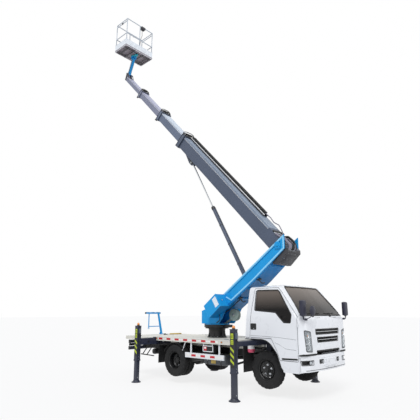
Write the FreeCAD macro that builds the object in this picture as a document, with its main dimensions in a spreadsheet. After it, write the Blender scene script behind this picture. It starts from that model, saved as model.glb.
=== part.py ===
"""Cherry picker truck: cab-over light lorry, telescopic boom on a raised arm, outriggers down.

Millimetres. +X is forward, +Y is the truck's left, +Z is up. The origin is on the ground below
the middle of the rear axle. The truck stands on its four outrigger feet with its wheels hanging.
"""
import FreeCAD, Part, Sketcher
import math
import os
from collections import namedtuple

Vector = FreeCAD.Vector
Rotation = FreeCAD.Rotation
DOCUMENT = FreeCAD.newDocument("cherry_picker_truck")
SHEET = DOCUMENT.addObject("Spreadsheet::Sheet", "Sizes")

# name, value in millimetres or degrees
DIMENSIONS = [
    # wheels and axles
    ("wheelbase", 2800), ("axle_height", 541), ("tyre_radius", 387), ("tyre_width", 190),
    ("rim_radius", 212), ("front_wheel_y", 740), ("twin_outer_y", 842), ("twin_spacing", 218),
    ("kingpin_y", 610), ("kingpin_radius", 15), ("kingpin_boss_radius", 32),
    ("kingpin_boss_height", 100), ("lug_gap", 1), ("lug_height", 26),
    ("front_spindle_radius", 22), ("rear_spindle_radius", 40), ("axle_tube_radius", 52),
    ("diff_radius", 165), ("axle_beam_height", 70), ("bore_gap", 0.1), ("seat_gap", 0.3),
    ("spring_width", 60), ("spring_height", 50), ("leaf_height", 15), ("front_spring_half", 520),
    ("rear_spring_half", 600),
    # ladder frame
    ("rail_outer_y", 385), ("rail_width", 60), ("rail_bottom", 735), ("rail_top", 895),
    ("rail_wall", 8), ("rail_rear", -1905), ("rail_overhang", 700), ("crossmember_width", 70),
    ("crossmember_inset", 20), ("engine_half_width", 260), ("gearbox_length", 460),
    # deck
    ("deck_half_width", 930), ("deck_top", 1100), ("deck_plate", 12), ("deck_rail_width", 40),
    ("deck_rail_bottom", 1010), ("deck_setback", 900), ("rear_deck_top", 1081),
    ("rear_deck_end", -2090), ("rear_deck_rail_bottom", 995), ("bearer_width", 50),
    # hung below the deck
    ("guard_plank_width", 30), ("guard_bottom", 650), ("guard_height", 120),
    ("underrun_depth", 80), ("underrun_inset", 30), ("mudguard_gap", 45), ("mudguard_wall", 6),
    ("mudguard_rise", 180), ("guard_gap", 0.696), ("guard_end", 1680), ("flap_reach", 188),
    ("fuel_tank_inset", 110), ("oil_tank_inset", 70), ("battery_inset", 45),
    ("rest_x", -2020), ("rest_top", 1745), ("rest_half", 24),
    # outriggers
    ("rear_outrigger_x", -800), ("front_outrigger_setback", 226), ("rear_leg_y", 1500),
    ("front_leg_y", 1638), ("beam_width", 110), ("rear_beam_bottom", 912),
    ("rear_beam_height", 165), ("front_beam_bottom", 1049), ("front_beam_height", 95),
    ("beam_wall", 8), ("slide_gap", 0.5), ("housing_wall", 8), ("beam_length", 930),
    ("leg_tube_side", 115), ("leg_tube_wall", 7), ("leg_tube_bottom", 520),
    ("leg_tube_top", 1390), ("inner_leg_top", 1000), ("leg_wall", 6), ("foot_radius", 120),
    ("foot_plate", 14), ("foot_cone_height", 60),
    # slewing
    ("slew_x", 653), ("pedestal_radius", 220), ("pedestal_wall", 25), ("pedestal_flange", 45),
    ("lower_ring_bottom", 1330), ("lower_ring_top", 1360), ("lower_ring_radius", 310),
    ("ring_radius", 335), ("ring_top", 1430), ("motor_reach", 135), ("base_plate", 25),
    ("rear_cover_top", 1780), ("cover_wall", 12),
    # raised arm
    ("arm_half_width", 327), ("arm_plate", 30), ("arm_recess", 15), ("arm_floor", 15),
    ("pivot_x", 2870), ("pivot_z", 3300), ("pivot_radius", 40), ("pin_head", 18),
    ("foot_pin_x", 1757), ("foot_pin_z", 2420), ("foot_ear", 28), ("foot_half_width", 52),
    ("open_gap", 6), ("box_width", 330), ("drum_x", 1292), ("drum_z", 1678),
    ("drum_radius", 145), ("drum_half_width", 50),
    # boom
    ("boom_elevation", 47.3), ("boom_wall", 5), ("tail_half_width", 285), ("tail_wall", 6),
    ("boss_radius", 75), ("boss_gap", 6), ("collar_wall", 30), ("collar_length", 150),
    ("eye_distance", 4351), ("eye_drop", 354), ("eye_radius", 58), ("eye_pin_radius", 25),
    ("ear_gap", 36), ("ear_plate", 24),
    # luffing cylinder
    ("rod_radius", 24), ("barrel_radius", 50), ("barrel_start", 1795), ("barrel_wall_end", 150),
    ("rod_end", 2630),
    # basket
    ("tip_pin_radius", 20), ("tip_distance", 10170), ("tip_rise", 120), ("jib_side", 90),
    ("rotator_x", -3690), ("basket_floor_z", 11580), ("basket_frame", 60),
    ("basket_length", 1270), ("basket_width", 710), ("basket_height", 1190),
    ("basket_second", 1100), ("basket_mid", 560), ("tube_radius", 17), ("end_tube_radius", 15),
    ("post_radius", 16), ("rotator_radius", 90), ("panel_height", 230), ("panel_wall", 6),
    ("swing_gap", 0.5),
    # cab; lengths along it run from the front axle
    ("cab_half_width", 985), ("cab_rear", -430), ("cab_floor", 1165), ("cab_wall", 40),
    ("cab_step_bottom", 555), ("tunnel_top", 920), ("tunnel_half_width", 550),
    ("cab_front_bottom", 890), ("cab_front", 1085), ("belt", 1620), ("screen_foot_x", 1036),
    ("screen_foot_z", 1650), ("screen_top_x", 470), ("roof", 2345), ("roof_half_width", 893),
    ("roof_edge_z", 2300), ("door_gap", 5.5), ("glass_inset", 14), ("glass", 6),
    ("door_rear", -300), ("door_front", 900), ("door_bottom", 780), ("hinge_y", 994),
    ("hinge_x", 912), ("hinge_radius", 8), ("hinge_pin", 4), ("hinge_length", 30),
    ("hinge_lug", 16), ("lamp_depth", 30), ("bumper_bottom", 575), ("bumper_top", 885),
    ("bumper_wall", 42),
]


class Size:
    """A number together with the spreadsheet formula that it comes from."""

    def __init__(self, number, formula):
        self.number = float(number)
        self.formula = formula

    def __float__(self):
        return self.number

    def __add__(self, other):
        return Size(self.number + float(other), f"({self.formula} + {formula(other)})")

    def __radd__(self, other):
        return Size(float(other) + self.number, f"({formula(other)} + {self.formula})")

    def __sub__(self, other):
        return Size(self.number - float(other), f"({self.formula} - {formula(other)})")

    def __rsub__(self, other):
        return Size(float(other) - self.number, f"({formula(other)} - {self.formula})")

    def __mul__(self, other):
        return Size(self.number * float(other), f"({self.formula} * {formula(other)})")

    def __rmul__(self, other):
        return Size(float(other) * self.number, f"({formula(other)} * {self.formula})")

    def __truediv__(self, other):
        return Size(self.number / float(other), f"({self.formula} / {formula(other)})")

    def __neg__(self):
        return Size(-self.number, f"(-1 * {self.formula})")


def formula(value):
    return value.formula if isinstance(value, Size) else f"({float(value)})"


def fill_sheet():
    """One row for each dimension: its name in column A, its value in column B."""
    sizes = {}
    for row, (name, value) in enumerate(DIMENSIONS, start=1):
        SHEET.set(f"A{row}", name)
        SHEET.set(f"B{row}", str(value))
        SHEET.setAlias(f"B{row}", name)
        sizes[name] = Size(value, f"Sizes.{name}")
    DOCUMENT.recompute()
    return sizes


class Sizes:
    pass


D = Sizes()
for size_name, size in fill_sheet().items():
    setattr(D, size_name, size)

# places and fits that follow from the sizes above
D.front_outrigger_x = D.wheelbase - D.front_outrigger_setback
D.rail_front = D.wheelbase + D.rail_overhang
D.deck_front = D.wheelbase - D.deck_setback
D.inner_leg_side = D.leg_tube_side - (D.leg_tube_wall + D.slide_gap) * 2

SUBPARTS = []


def bind(thing, path, value):
    thing.setExpression(path, formula(value))


def place(thing, x=0, y=0, z=0, axis=(0, 1, 0), angle=0):
    """Put an object at x, y, z, turned by angle degrees about axis."""
    thing.Placement = FreeCAD.Placement(
        Vector(float(x), float(y), float(z)), Rotation(Vector(*axis), float(angle)))
    for letter, value in (("x", x), ("y", y), ("z", z)):
        if isinstance(value, Size):
            bind(thing, f"Placement.Base.{letter}", value)
    if isinstance(angle, Size):
        bind(thing, "Placement.Rotation.Angle", angle)
    return thing


def block(name, x, y, z):
    """A box between two values on each axis."""
    thing = DOCUMENT.addObject("Part::Box", name)
    for side, (low, high) in (("Length", x), ("Width", y), ("Height", z)):
        bind(thing, side, high - low if isinstance(high, Size) or isinstance(low, Size)
             else float(high - low))
    return place(thing, x[0], y[0], z[0])


def cylinder(name, radius, x, y, z, angle=360):
    """A cylinder along the one axis whose value is a (low, high) pair."""
    thing = DOCUMENT.addObject("Part::Cylinder", name)
    bind(thing, "Radius", radius)
    thing.Angle = angle
    if isinstance(z, tuple):
        low, high, axis, turn = z[0], z[1], (0, 0, 1), 0
        place(thing, x, y, low, axis, turn)
    elif isinstance(y, tuple):
        low, high, axis, turn = y[0], y[1], (1, 0, 0), -90
        place(thing, x, low, z, axis, turn)
    else:
        low, high, axis, turn = x[0], x[1], (0, 1, 0), 90
        place(thing, low, y, z, axis, turn)
    bind(thing, "Height", high - low if isinstance(high, Size) or isinstance(low, Size)
         else float(high - low))
    return thing


def origin_plane(body, role):
    return next(item for item in body.Origin.OriginFeatures if item.Role == role)


def outline_sketch(body, name, role, points, offset=0):
    """A closed outline of straight lines, each corner held by two dimensions."""
    sketch = body.newObject("Sketcher::SketchObject", name)
    sketch.AttachmentSupport = [(origin_plane(body, role), "")]
    sketch.MapMode = "FlatFace"
    if isinstance(offset, Size):
        bind(sketch, "AttachmentOffset.Base.z", offset)
    else:
        sketch.AttachmentOffset = FreeCAD.Placement(Vector(0, 0, offset), Rotation())
    corners = [Vector(float(a), float(b), 0) for a, b in points]
    count = len(corners)
    for index in range(count):
        sketch.addGeometry(Part.LineSegment(corners[index], corners[(index + 1) % count]), False)
    for index in range(count):
        following = (index + 1) % count
        sketch.addConstraint(Sketcher.Constraint("Coincident", index, 2, following, 1))
    for index, (a, b) in enumerate(points):
        for kind, value in (("DistanceX", a), ("DistanceY", b)):
            number = sketch.addConstraint(
                Sketcher.Constraint(kind, -1, 1, index, 1, float(value)))
            if isinstance(value, Size):
                bind(sketch, f"Constraints[{number}]", value)
    return sketch


def prism(name, points, y):
    """A side outline of (x, z) corners, drawn out between two values of y."""
    body = DOCUMENT.addObject("PartDesign::Body", name)
    # the XZ plane's normal is -Y, so the pad runs from y[1] down to y[0]
    sketch = outline_sketch(body, name + "_outline", "XZ_Plane", points, -y[1])
    pad = body.newObject("PartDesign::Pad", name + "_pad")
    pad.Profile = sketch
    bind(pad, "Length", y[1] - y[0])
    return body


def turned(name, points, x, y, z, axis=(1, 0, 0), angle=-90):
    """A ring turned about its own Z axis from (radius, height) corners, then placed."""
    body = DOCUMENT.addObject("PartDesign::Body", name)
    sketch = outline_sketch(body, name + "_section", "XZ_Plane", points)
    turn = body.newObject("PartDesign::Revolution", name + "_turn")
    turn.Profile = sketch
    turn.ReferenceAxis = (sketch, ["V_Axis"])
    turn.Angle = 360
    return place(body, x, y, z, axis, angle)


def fuse(name, things):
    joined = DOCUMENT.addObject("Part::MultiFuse", name)
    joined.Shapes = things
    joined.Refine = True
    return joined


def cut(name, base, tools):
    tool = tools[0] if len(tools) == 1 else fuse(name + "_tools", tools)
    result = DOCUMENT.addObject("Part::Cut", name)
    result.Base = base
    result.Tool = tool
    return result


def group(name, things):
    """Separate solids that share a node."""
    result = DOCUMENT.addObject("Part::Compound", name)
    result.Links = things
    return result


def mirrored(name, thing):
    result = DOCUMENT.addObject("Part::Mirroring", name)
    result.Source = thing
    result.Base = (0, 0, 0)
    result.Normal = (0, 1, 0)
    return result


def feature(name, shape):
    result = DOCUMENT.addObject("Part::Feature", name)
    result.Shape = shape
    return result


def subpart(node, thing):
    thing.Label = node
    SUBPARTS.append(thing)
    return thing


def cosine(angle):
    return Size(math.cos(math.radians(float(angle))), f"cos({formula(angle)})")


def sine(angle):
    return Size(math.sin(math.radians(float(angle))), f"sin({formula(angle)})")


def root(value):
    return Size(math.sqrt(float(value)), f"sqrt({formula(value)})")


# ---------------------------------------------------------------- chassis

def build_frame():
    rail_inner = D.rail_outer_y - D.rail_width
    solid = block("rail", (D.rail_rear, D.rail_front), (rail_inner, D.rail_outer_y),
                  (D.rail_bottom, D.rail_top))
    hollow = block("rail_hollow", (D.rail_rear, D.rail_front),
                   (rail_inner - 1, D.rail_outer_y - D.rail_wall),
                   (D.rail_bottom + D.rail_wall, D.rail_top - D.rail_wall))
    left = cut("left_rail", solid, [hollow])
    pieces = [left, mirrored("right_rail", left)]
    # cross-members between the rails, by the x of their rear faces
    web = D.rail_outer_y - D.rail_wall + 1
    starts = (D.rail_rear + 5, D.rear_outrigger_x + 240, 380, 1250, D.wheelbase - 850,
              D.rail_front - 90)
    for index, x in enumerate(starts):
        pieces.append(block(f"crossmember_{index}", (x, x + D.crossmember_width), (-web, web),
                            (D.rail_bottom + D.crossmember_inset,
                             D.rail_top - D.crossmember_inset)))
    mount_front = D.rail_front - 60
    for side in (-1, 1):
        middle = side * (D.rail_outer_y - D.rail_width / 2)
        pieces.append(block(f"cab_mount_{side + 1}", (mount_front - 140, mount_front),
                            (middle - D.rail_width / 2, middle + D.rail_width / 2),
                            (D.rail_top, D.tunnel_top)))
    subpart("chassis_frame", fuse("frame_fused", pieces))


def build_front_axle():
    top = D.axle_height + D.axle_beam_height / 2
    bottom = D.axle_height - D.axle_beam_height / 2
    beam = block("axle_beam", (D.wheelbase - 35, D.wheelbase + 35),
                 (-D.kingpin_y, D.kingpin_y), (bottom, top))
    pieces = [beam]
    half_boss = D.kingpin_boss_height / 2
    for side, word in ((1, "left"), (-1, "right")):
        pieces.append(cylinder(f"{word}_boss", D.kingpin_boss_radius, D.wheelbase,
                               side * D.kingpin_y,
                               (D.axle_height - half_boss, D.axle_height + half_boss)))
        reach = half_boss + D.lug_gap + D.lug_height + 6
        pieces.append(cylinder(f"{word}_kingpin", D.kingpin_radius, D.wheelbase,
                               side * D.kingpin_y,
                               (D.axle_height - reach, D.axle_height + reach)))
    subpart("front_axle", fuse("front_axle_fused", pieces))


def build_knuckle(side, word):
    """A fork round the axle's end, with the spindle that carries the wheel."""
    half_boss = D.kingpin_boss_height / 2
    y = side * D.kingpin_y
    pieces = []
    for up in (-1, 1):
        low = D.axle_height + up * (half_boss + D.lug_gap)
        high = D.axle_height + up * (half_boss + D.lug_gap + D.lug_height)
        ends = (low, high) if up > 0 else (high, low)
        pieces.append(cylinder(f"{word}_lug_{up + 1}", D.kingpin_boss_radius + 2,
                               D.wheelbase, y, ends))
        pieces.append(block(f"{word}_lug_arm_{up + 1}", (D.wheelbase - 28, D.wheelbase + 28),
                            (y, y + 62) if side > 0 else (y - 62, y), ends))
    reach = half_boss + D.lug_gap + D.lug_height
    pieces.append(block(f"{word}_upright", (D.wheelbase - 28, D.wheelbase + 28),
                        (y + 40, y + 62) if side > 0 else (y - 62, y - 40),
                        (D.axle_height - reach, D.axle_height + reach)))
    spindle_end = side * (D.front_wheel_y + 60)
    ends = (y + 50, spindle_end) if side > 0 else (spindle_end, y - 50)
    pieces.append(cylinder(f"{word}_spindle", D.front_spindle_radius, D.wheelbase, ends,
                           D.axle_height))
    bore = cylinder(f"{word}_kingpin_bore", D.kingpin_radius + D.bore_gap, D.wheelbase, y,
                    (D.axle_height - 2 * reach, D.axle_height + 2 * reach))
    subpart(f"steering_knuckle_{word}",
            cut(f"{word}_knuckle", fuse(f"{word}_knuckle_solid", pieces), [bore]))


def tyre_section(middle):
    """Half a tyre's section as (radius, height) corners round its middle plane."""
    half = D.tyre_width / 2
    return [(D.rim_radius, middle - half + 22), (D.rim_radius + 40, middle - half + 4),
            (D.rim_radius + 90, middle - half), (D.tyre_radius - 45, middle - half + 3),
            (D.tyre_radius - 12, middle - half + 14), (D.tyre_radius, middle - half + 32),
            (D.tyre_radius, middle + half - 32), (D.tyre_radius - 12, middle + half - 14),
            (D.tyre_radius - 45, middle + half - 3), (D.rim_radius + 90, middle + half),
            (D.rim_radius + 40, middle + half - 4), (D.rim_radius, middle + half - 22)]


def build_front_wheel(side, word):
    """The turned profile's height runs outwards from the truck's middle."""
    angle = -90 * side
    subpart(f"tyre_front_{word}",
            turned(f"front_tyre_{word}", tyre_section(0), D.wheelbase,
                   side * D.front_wheel_y, D.axle_height, (1, 0, 0), angle))
    bore = D.front_spindle_radius + D.bore_gap
    rim = [(bore, -30), (70, -30), (78, 20), (150, 48), (180, 32), (D.rim_radius - 24, 30),
           (D.rim_radius - 22, -60), (D.rim_radius - 0.3, -78), (D.rim_radius - 0.3, 78),
           (D.rim_radius - 14, 78), (D.rim_radius - 16, 44), (180, 44), (150, 62), (88, 38),
           (70, 66), (bore, 66)]
    subpart(f"rim_front_{word}",
            turned(f"front_rim_{word}", rim, D.wheelbase, side * D.front_wheel_y,
                   D.axle_height, (1, 0, 0), angle))


def build_rear_wheel(side, word):
    middle = D.twin_outer_y - D.twin_spacing / 2
    half = D.twin_spacing / 2
    angle = -90 * side
    tyres = [turned(f"rear_{word}_{which}", tyre_section(offset), 0, side * middle,
                    D.axle_height, (1, 0, 0), angle)
             for which, offset in (("inner_tyre", -half), ("outer_tyre", half))]
    subpart(f"tyres_rear_{word}", group(f"rear_tyres_{word}", tyres))
    bore = D.rear_spindle_radius + D.bore_gap
    rim_edge = D.rim_radius - 0.3
    rim = [(bore, -12), (165, -12), (182, -34), (182, -172), (rim_edge, -186), (rim_edge, -30),
           (198, -22), (198, 22), (rim_edge, 30), (rim_edge, 186), (196, 186), (182, 150),
           (182, 34), (165, 12), (112, 12), (100, 95), (62, 110), (bore, 110)]
    subpart(f"rim_rear_{word}",
            turned(f"rear_rim_{word}", rim, 0, side * middle, D.axle_height, (1, 0, 0), angle))


def build_rear_axle():
    outer = D.twin_outer_y - 20
    pieces = [cylinder("axle_tube", D.axle_tube_radius, 0, (-470, 470), D.axle_height),
              cylinder("spindles", D.rear_spindle_radius, 0, (-outer, outer), D.axle_height),
              cylinder("diff_bowl", D.diff_radius, 0, (-95, 95), D.axle_height),
              cylinder("diff_nose", 70, (0, 240), 0, D.axle_height)]
    subpart("rear_axle", fuse("rear_axle_fused", pieces))


def build_springs():
    """Leaf packs on the axles, each with a hanger up to the rail at both ends."""
    middle = D.rail_outer_y - D.rail_width / 2
    low, high = middle - D.spring_width / 2, middle + D.spring_width / 2
    packs = []
    rows = (("front", D.wheelbase, D.axle_height + D.axle_beam_height / 2, D.front_spring_half),
            ("rear", 0, D.axle_height + D.axle_tube_radius - 4, D.rear_spring_half))
    for word, x, seat, half in rows:
        second, first = seat + D.leaf_height, seat + 2 * D.leaf_height
        leaves = [block(f"{word}_leaf_1", (x - half, x + half), (low, high),
                        (first, seat + D.spring_height)),
                  block(f"{word}_leaf_2", (x - half * 0.7, x + half * 0.7), (low, high),
                        (second, first)),
                  block(f"{word}_leaf_3", (x - half * 0.4, x + half * 0.4), (low, high),
                        (seat, second))]
        for end, sign in (("rear", -1), ("front", 1)):
            start = x + sign * half
            ends = (start, start + 50) if sign > 0 else (start - 50, start)
            leaves.append(block(f"{word}_hanger_{end}", ends, (low, high),
                                (first, D.rail_bottom)))
        pack = fuse(f"{word}_spring_left", leaves)
        if word == "rear":
            saddle = cylinder("spring_saddle", D.axle_tube_radius, 0, (-500, 500), D.axle_height)
            pack = cut("rear_spring_seated", pack, [saddle])
        packs += [pack, mirrored(f"{word}_spring_right", pack)]
    subpart("leaf_springs", group("springs", packs))


def build_driveline():
    half = D.engine_half_width
    engine_rear = D.wheelbase - 240
    gearbox_rear = engine_rear - D.gearbox_length
    engine = block("engine", (engine_rear, D.wheelbase + 250), (-half, half), (600, 1020))
    gearbox = block("gearbox", (gearbox_rear, engine_rear), (-150, 150), (600, 820))
    rail_inner = D.rail_outer_y - D.rail_width
    lugs = block("engine_mounts", (D.wheelbase + 100, D.wheelbase + 200),
                 (-rail_inner, rail_inner), (760, 820))
    subpart("engine_block", fuse("engine_fused", [engine, gearbox, lugs]))
    nose = 240
    start, end = Vector(nose, 0, float(D.axle_height)), Vector(float(gearbox_rear), 0, 690)
    run = end - start
    shaft = DOCUMENT.addObject("Part::Cylinder", "shaft")
    shaft.Radius = 38
    shaft.Height = run.Length
    shaft.Placement = FreeCAD.Placement(start, Rotation(Vector(0, 0, 1), run))
    ends = cut("shaft_trimmed", shaft, [
        block("behind_shaft", (0, nose), (-99, 99), (400, 900)),
        block("before_shaft", (gearbox_rear, gearbox_rear + 200), (-99, 99), (400, 900))])
    subpart("propshaft", ends)


# ---------------------------------------------------------------- deck and what hangs below it

def build_deck():
    main_rear = D.rear_outrigger_x + D.beam_width / 2 + D.housing_wall + 2
    rear_front = D.rear_outrigger_x - D.beam_width / 2 - D.housing_wall - 2
    rail_inner = D.rail_outer_y - D.rail_width
    inner = D.deck_half_width - D.deck_rail_width
    rows = (("main", main_rear, D.deck_front, D.deck_top, D.deck_rail_bottom, 6),
            ("rear", D.rear_deck_end, rear_front, D.rear_deck_top, D.rear_deck_rail_bottom, 3))
    solids = []
    for word, start, end, top, rail_bottom, bearers in rows:
        under = top - D.deck_plate
        pieces = [block(f"{word}_plate", (start, end), (-D.deck_half_width, D.deck_half_width),
                        (under, top))]
        for side, low, high in (("right", -D.deck_half_width, -inner),
                                ("left", inner, D.deck_half_width)):
            pieces.append(block(f"{word}_{side}_edge", (start, end), (low, high),
                                (rail_bottom, under + 1)))
        for side, low, high in (("right", -D.rail_outer_y, -rail_inner),
                                ("left", rail_inner, D.rail_outer_y)):
            runner_start = start if word == "main" else D.rail_rear
            pieces.append(block(f"{word}_{side}_runner", (runner_start, end), (low, high),
                                (D.rail_top, under + 1)))
        step = (end - start - D.bearer_width) / (bearers - 1)
        for index in range(bearers):
            x = start + step * index
            pieces.append(block(f"{word}_bearer_{index}", (x, x + D.bearer_width),
                                (-inner - 1, inner + 1), (rail_bottom + 10, under + 1)))
        solids.append(fuse(f"{word}_deck", pieces))
    subpart("deck", group("decks", solids))


def build_outrigger_boxes():
    """The two cross tubes that the beams slide in, open at both ends."""
    half = D.beam_width / 2
    grow = D.slide_gap + D.housing_wall
    reach = D.deck_half_width - 5
    rail_inner = D.rail_outer_y - D.rail_width
    solids = []
    rows = (("rear", D.rear_outrigger_x, D.rear_beam_bottom, D.rear_beam_height),
            ("front", D.front_outrigger_x, D.front_beam_bottom, D.front_beam_height))
    for word, x, bottom, height in rows:
        outer = block(f"{word}_box", (x - half - grow, x + half + grow), (-reach, reach),
                      (bottom - grow, bottom + height + grow))
        pieces = [outer]
        if word == "front":
            for side, low, high in (("right", -D.rail_outer_y, -rail_inner),
                                    ("left", rail_inner, D.rail_outer_y)):
                pieces.append(block(f"stand_{side}", (x - half - grow, x + half + grow),
                                    (low, high), (D.rail_top, bottom - 1)))
                pieces.append(block(f"pad_{side}", (x - 40, x + 40), (low, high),
                                    (bottom + height + 1, D.cab_floor)))
        else:
            for side, low, high in (("right", -D.rail_outer_y, -rail_inner),
                                    ("left", rail_inner, D.rail_outer_y)):
                pieces.append(block(f"rear_stand_{side}", (x - half, x + half),
                                    (low, high), (D.rail_top, bottom - 1)))
        inside = block(f"{word}_box_inside",
                       (x - half - D.slide_gap, x + half + D.slide_gap), (-reach - 1, reach + 1),
                       (bottom - D.slide_gap, bottom + height + D.slide_gap))
        solids.append(cut(f"{word}_housing", fuse(f"{word}_housing_solid", pieces), [inside]))
    subpart("outrigger_boxes", group("housings", solids))


def build_outrigger(place_word, x, leg_y, bottom, height, side, side_word):
    """A sliding beam with its leg tube, and the leg that comes down out of it."""
    name = f"{place_word}_{side_word}"
    half = D.beam_width / 2
    tube = D.leg_tube_side / 2
    inner = D.inner_leg_side / 2
    start = leg_y - tube - D.beam_length
    ends = (start, leg_y - tube + 1) if side > 0 else (-leg_y + tube - 1, -start)
    hollow_ends = (start - 1, leg_y - tube - 20) if side > 0 else (-leg_y + tube + 20, -start + 1)
    beam = cut(f"beam_{name}_tube",
               block(f"beam_{name}_outer", (x - half, x + half), ends, (bottom, bottom + height)),
               [block(f"beam_{name}_inner", (x - half + D.beam_wall, x + half - D.beam_wall),
                      hollow_ends, (bottom + D.beam_wall, bottom + height - D.beam_wall))])
    y = side * leg_y
    leg_tube = block(f"leg_tube_{name}", (x - tube, x + tube), (y - tube, y + tube),
                     (D.leg_tube_bottom, D.leg_tube_top))
    valve = block(f"valve_{name}", (x + tube - 1, x + tube + 30), (y - 30, y + 30),
                  (D.leg_tube_top - 190, D.leg_tube_top - 60))
    collar = block(f"leg_collar_{name}", (x - tube - 6, x + tube + 6), (y - tube - 6, y + tube + 6),
                   (D.leg_tube_bottom, D.leg_tube_bottom + 40))
    bore = block(f"leg_bore_{name}", (x - inner - D.slide_gap, x + inner + D.slide_gap),
                 (y - inner - D.slide_gap, y + inner + D.slide_gap),
                 (D.leg_tube_bottom - 1, D.leg_tube_top - 8))
    carrier = cut(f"carrier_{name}", fuse(f"carrier_{name}_solid", [beam, leg_tube, valve, collar]),
                  [bore])
    subpart(f"outrigger_beam_{name}", carrier)

    shaft = block(f"leg_{name}_shaft", (x - inner, x + inner), (y - inner, y + inner),
                  (D.foot_plate + 20, D.inner_leg_top))
    hollow = block(f"leg_{name}_hollow", (x - inner + D.leg_wall, x + inner - D.leg_wall),
                   (y - inner + D.leg_wall, y + inner - D.leg_wall),
                   (D.foot_plate + D.foot_cone_height + 10, D.inner_leg_top + 1))
    cone = DOCUMENT.addObject("Part::Cone", f"foot_{name}_cone")
    bind(cone, "Radius1", D.foot_radius - 20)
    bind(cone, "Radius2", D.inner_leg_side / 2 - 4)
    bind(cone, "Height", D.foot_cone_height)
    place(cone, x, y, D.foot_plate)
    plate = cylinder(f"foot_{name}_plate", D.foot_radius, x, y, (0, D.foot_plate))
    subpart(f"outrigger_leg_{name}",
            cut(f"leg_{name}", fuse(f"leg_{name}_solid", [shaft, cone, plate]), [hollow]))


def build_outriggers():
    rows = (("rear", D.rear_outrigger_x, D.rear_leg_y, D.rear_beam_bottom, D.rear_beam_height),
            ("front", D.front_outrigger_x, D.front_leg_y, D.front_beam_bottom,
             D.front_beam_height))
    for place_word, x, leg_y, bottom, height in rows:
        for side, side_word in ((1, "left"), (-1, "right")):
            build_outrigger(place_word, x, leg_y, bottom, height, side, side_word)


def build_side_guards():
    outer = D.deck_half_width
    inner = outer - D.guard_plank_width
    top = D.guard_bottom + D.guard_height
    # the plank starts a hair in front of the mudguard's lower edge
    arc = D.tyre_radius + D.mudguard_gap + D.mudguard_wall
    start = root(arc * arc - D.mudguard_rise * D.mudguard_rise) + D.guard_gap
    pieces = [block("guard_plank", (start, D.guard_end), (inner, outer),
                    (D.guard_bottom, top))]
    for index, x in enumerate((560, 1500)):
        pieces.append(block(f"guard_post_{index}", (x, x + 40), (inner - 15, inner + 5),
                            (D.guard_bottom + 10, D.deck_rail_bottom)))
    left = fuse("guard_left", pieces)
    subpart("side_guards", group("guards", [left, mirrored("guard_right", left)]))


def build_rear_underrun():
    """Two cross tubes on the ends of the frame's rails, one over the other."""
    rail_inner = D.rail_outer_y - D.rail_width
    ends = (D.rail_rear - D.underrun_depth, D.rail_rear)
    reach = D.deck_half_width - D.underrun_inset
    pieces = [block("upper_tube", ends, (-reach, reach), (885, 968)),
              block("lower_tube", ends, (-reach, reach), (700, 790))]
    for side, low, high in (("right", -D.rail_outer_y, -rail_inner),
                            ("left", rail_inner, D.rail_outer_y)):
        pieces.append(block(f"upright_{side}", ends, (low, high), (789, 886)))
    subpart("rear_underrun", fuse("underrun", pieces))


def build_mudguards():
    """A curved guard over each twin wheel, with its flap behind."""
    radius = D.tyre_radius + D.mudguard_gap
    outer = radius + D.mudguard_wall
    low, high = D.twin_outer_y - D.twin_spacing - 60, D.deck_half_width
    edge = D.axle_height + D.mudguard_rise
    ring = cut("guard_ring", cylinder("guard_outer", outer, 0, (low, high), D.axle_height),
               [cylinder("guard_inner", radius, 0, (low - 1, high + 1), D.axle_height),
                block("below_guard", (-outer - 9, outer + 9), (low - 2, high + 2), (0, edge))])
    bracket = (low + 60, low + 110)
    hanger = block("guard_hanger", (-60, 60), bracket,
                   (D.axle_height + radius + 2, D.deck_rail_bottom + 10))
    flap_x = -radius - D.flap_reach
    flap = block("flap", (flap_x, flap_x + 8), (low, high), (440, 880))
    arm = block("flap_arm", (flap_x, -radius + 60), bracket, (edge + 20, edge + 40))
    left = fuse("mudguard_left", [ring, hanger, flap, arm])
    liner = front_liner()
    subpart("mudguards", group("guards_and_liners", [
        left, mirrored("mudguard_right", left), liner, mirrored("liner_right", liner)]))


def front_liner():
    """The splash plate behind a front wheel, carried by an arm from the frame."""
    x = D.wheelbase - 565
    plate = block("liner", (x, x + 10), (520, 900), (450, 1090))
    arm = block("liner_arm", (x - 10, x + 20), (D.rail_outer_y, 600), (800, 840))
    return fuse("liner_left", [plate, arm])


def build_tanks():
    """A fuel tank and a battery box on the right, an oil tank on the left."""
    x = (930, 1640)
    inner = D.rail_outer_y + 55
    tank = block("tank", x, (-D.deck_half_width + D.fuel_tank_inset, -inner), (520, 760))
    straps = [block(f"tank_strap_{index}", (start, start + 40), (-inner - 20, -D.rail_outer_y),
                    (700, 800))
              for index, start in enumerate((1050, 1480))]
    fuel = fuse("fuel_tank_fused", [tank] + straps)
    battery = block("battery", (960, 1330), (-D.deck_half_width + D.battery_inset, -600),
                    (778, 960))
    arm = block("battery_arm", (1100, 1160), (-620, -D.rail_outer_y), (830, 860))
    subpart("battery_box", fuse("battery_fused", [battery, arm]))
    oil = block("oil_tank", x, (inner, D.deck_half_width - D.oil_tank_inset), (560, 950))
    oil_arm = block("oil_tank_arm", (1200, 1300), (D.rail_outer_y, inner + 10), (800, 860))
    subpart("tanks", group("fuel_and_oil", [fuel, fuse("oil_tank_fused", [oil, oil_arm])]))


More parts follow.
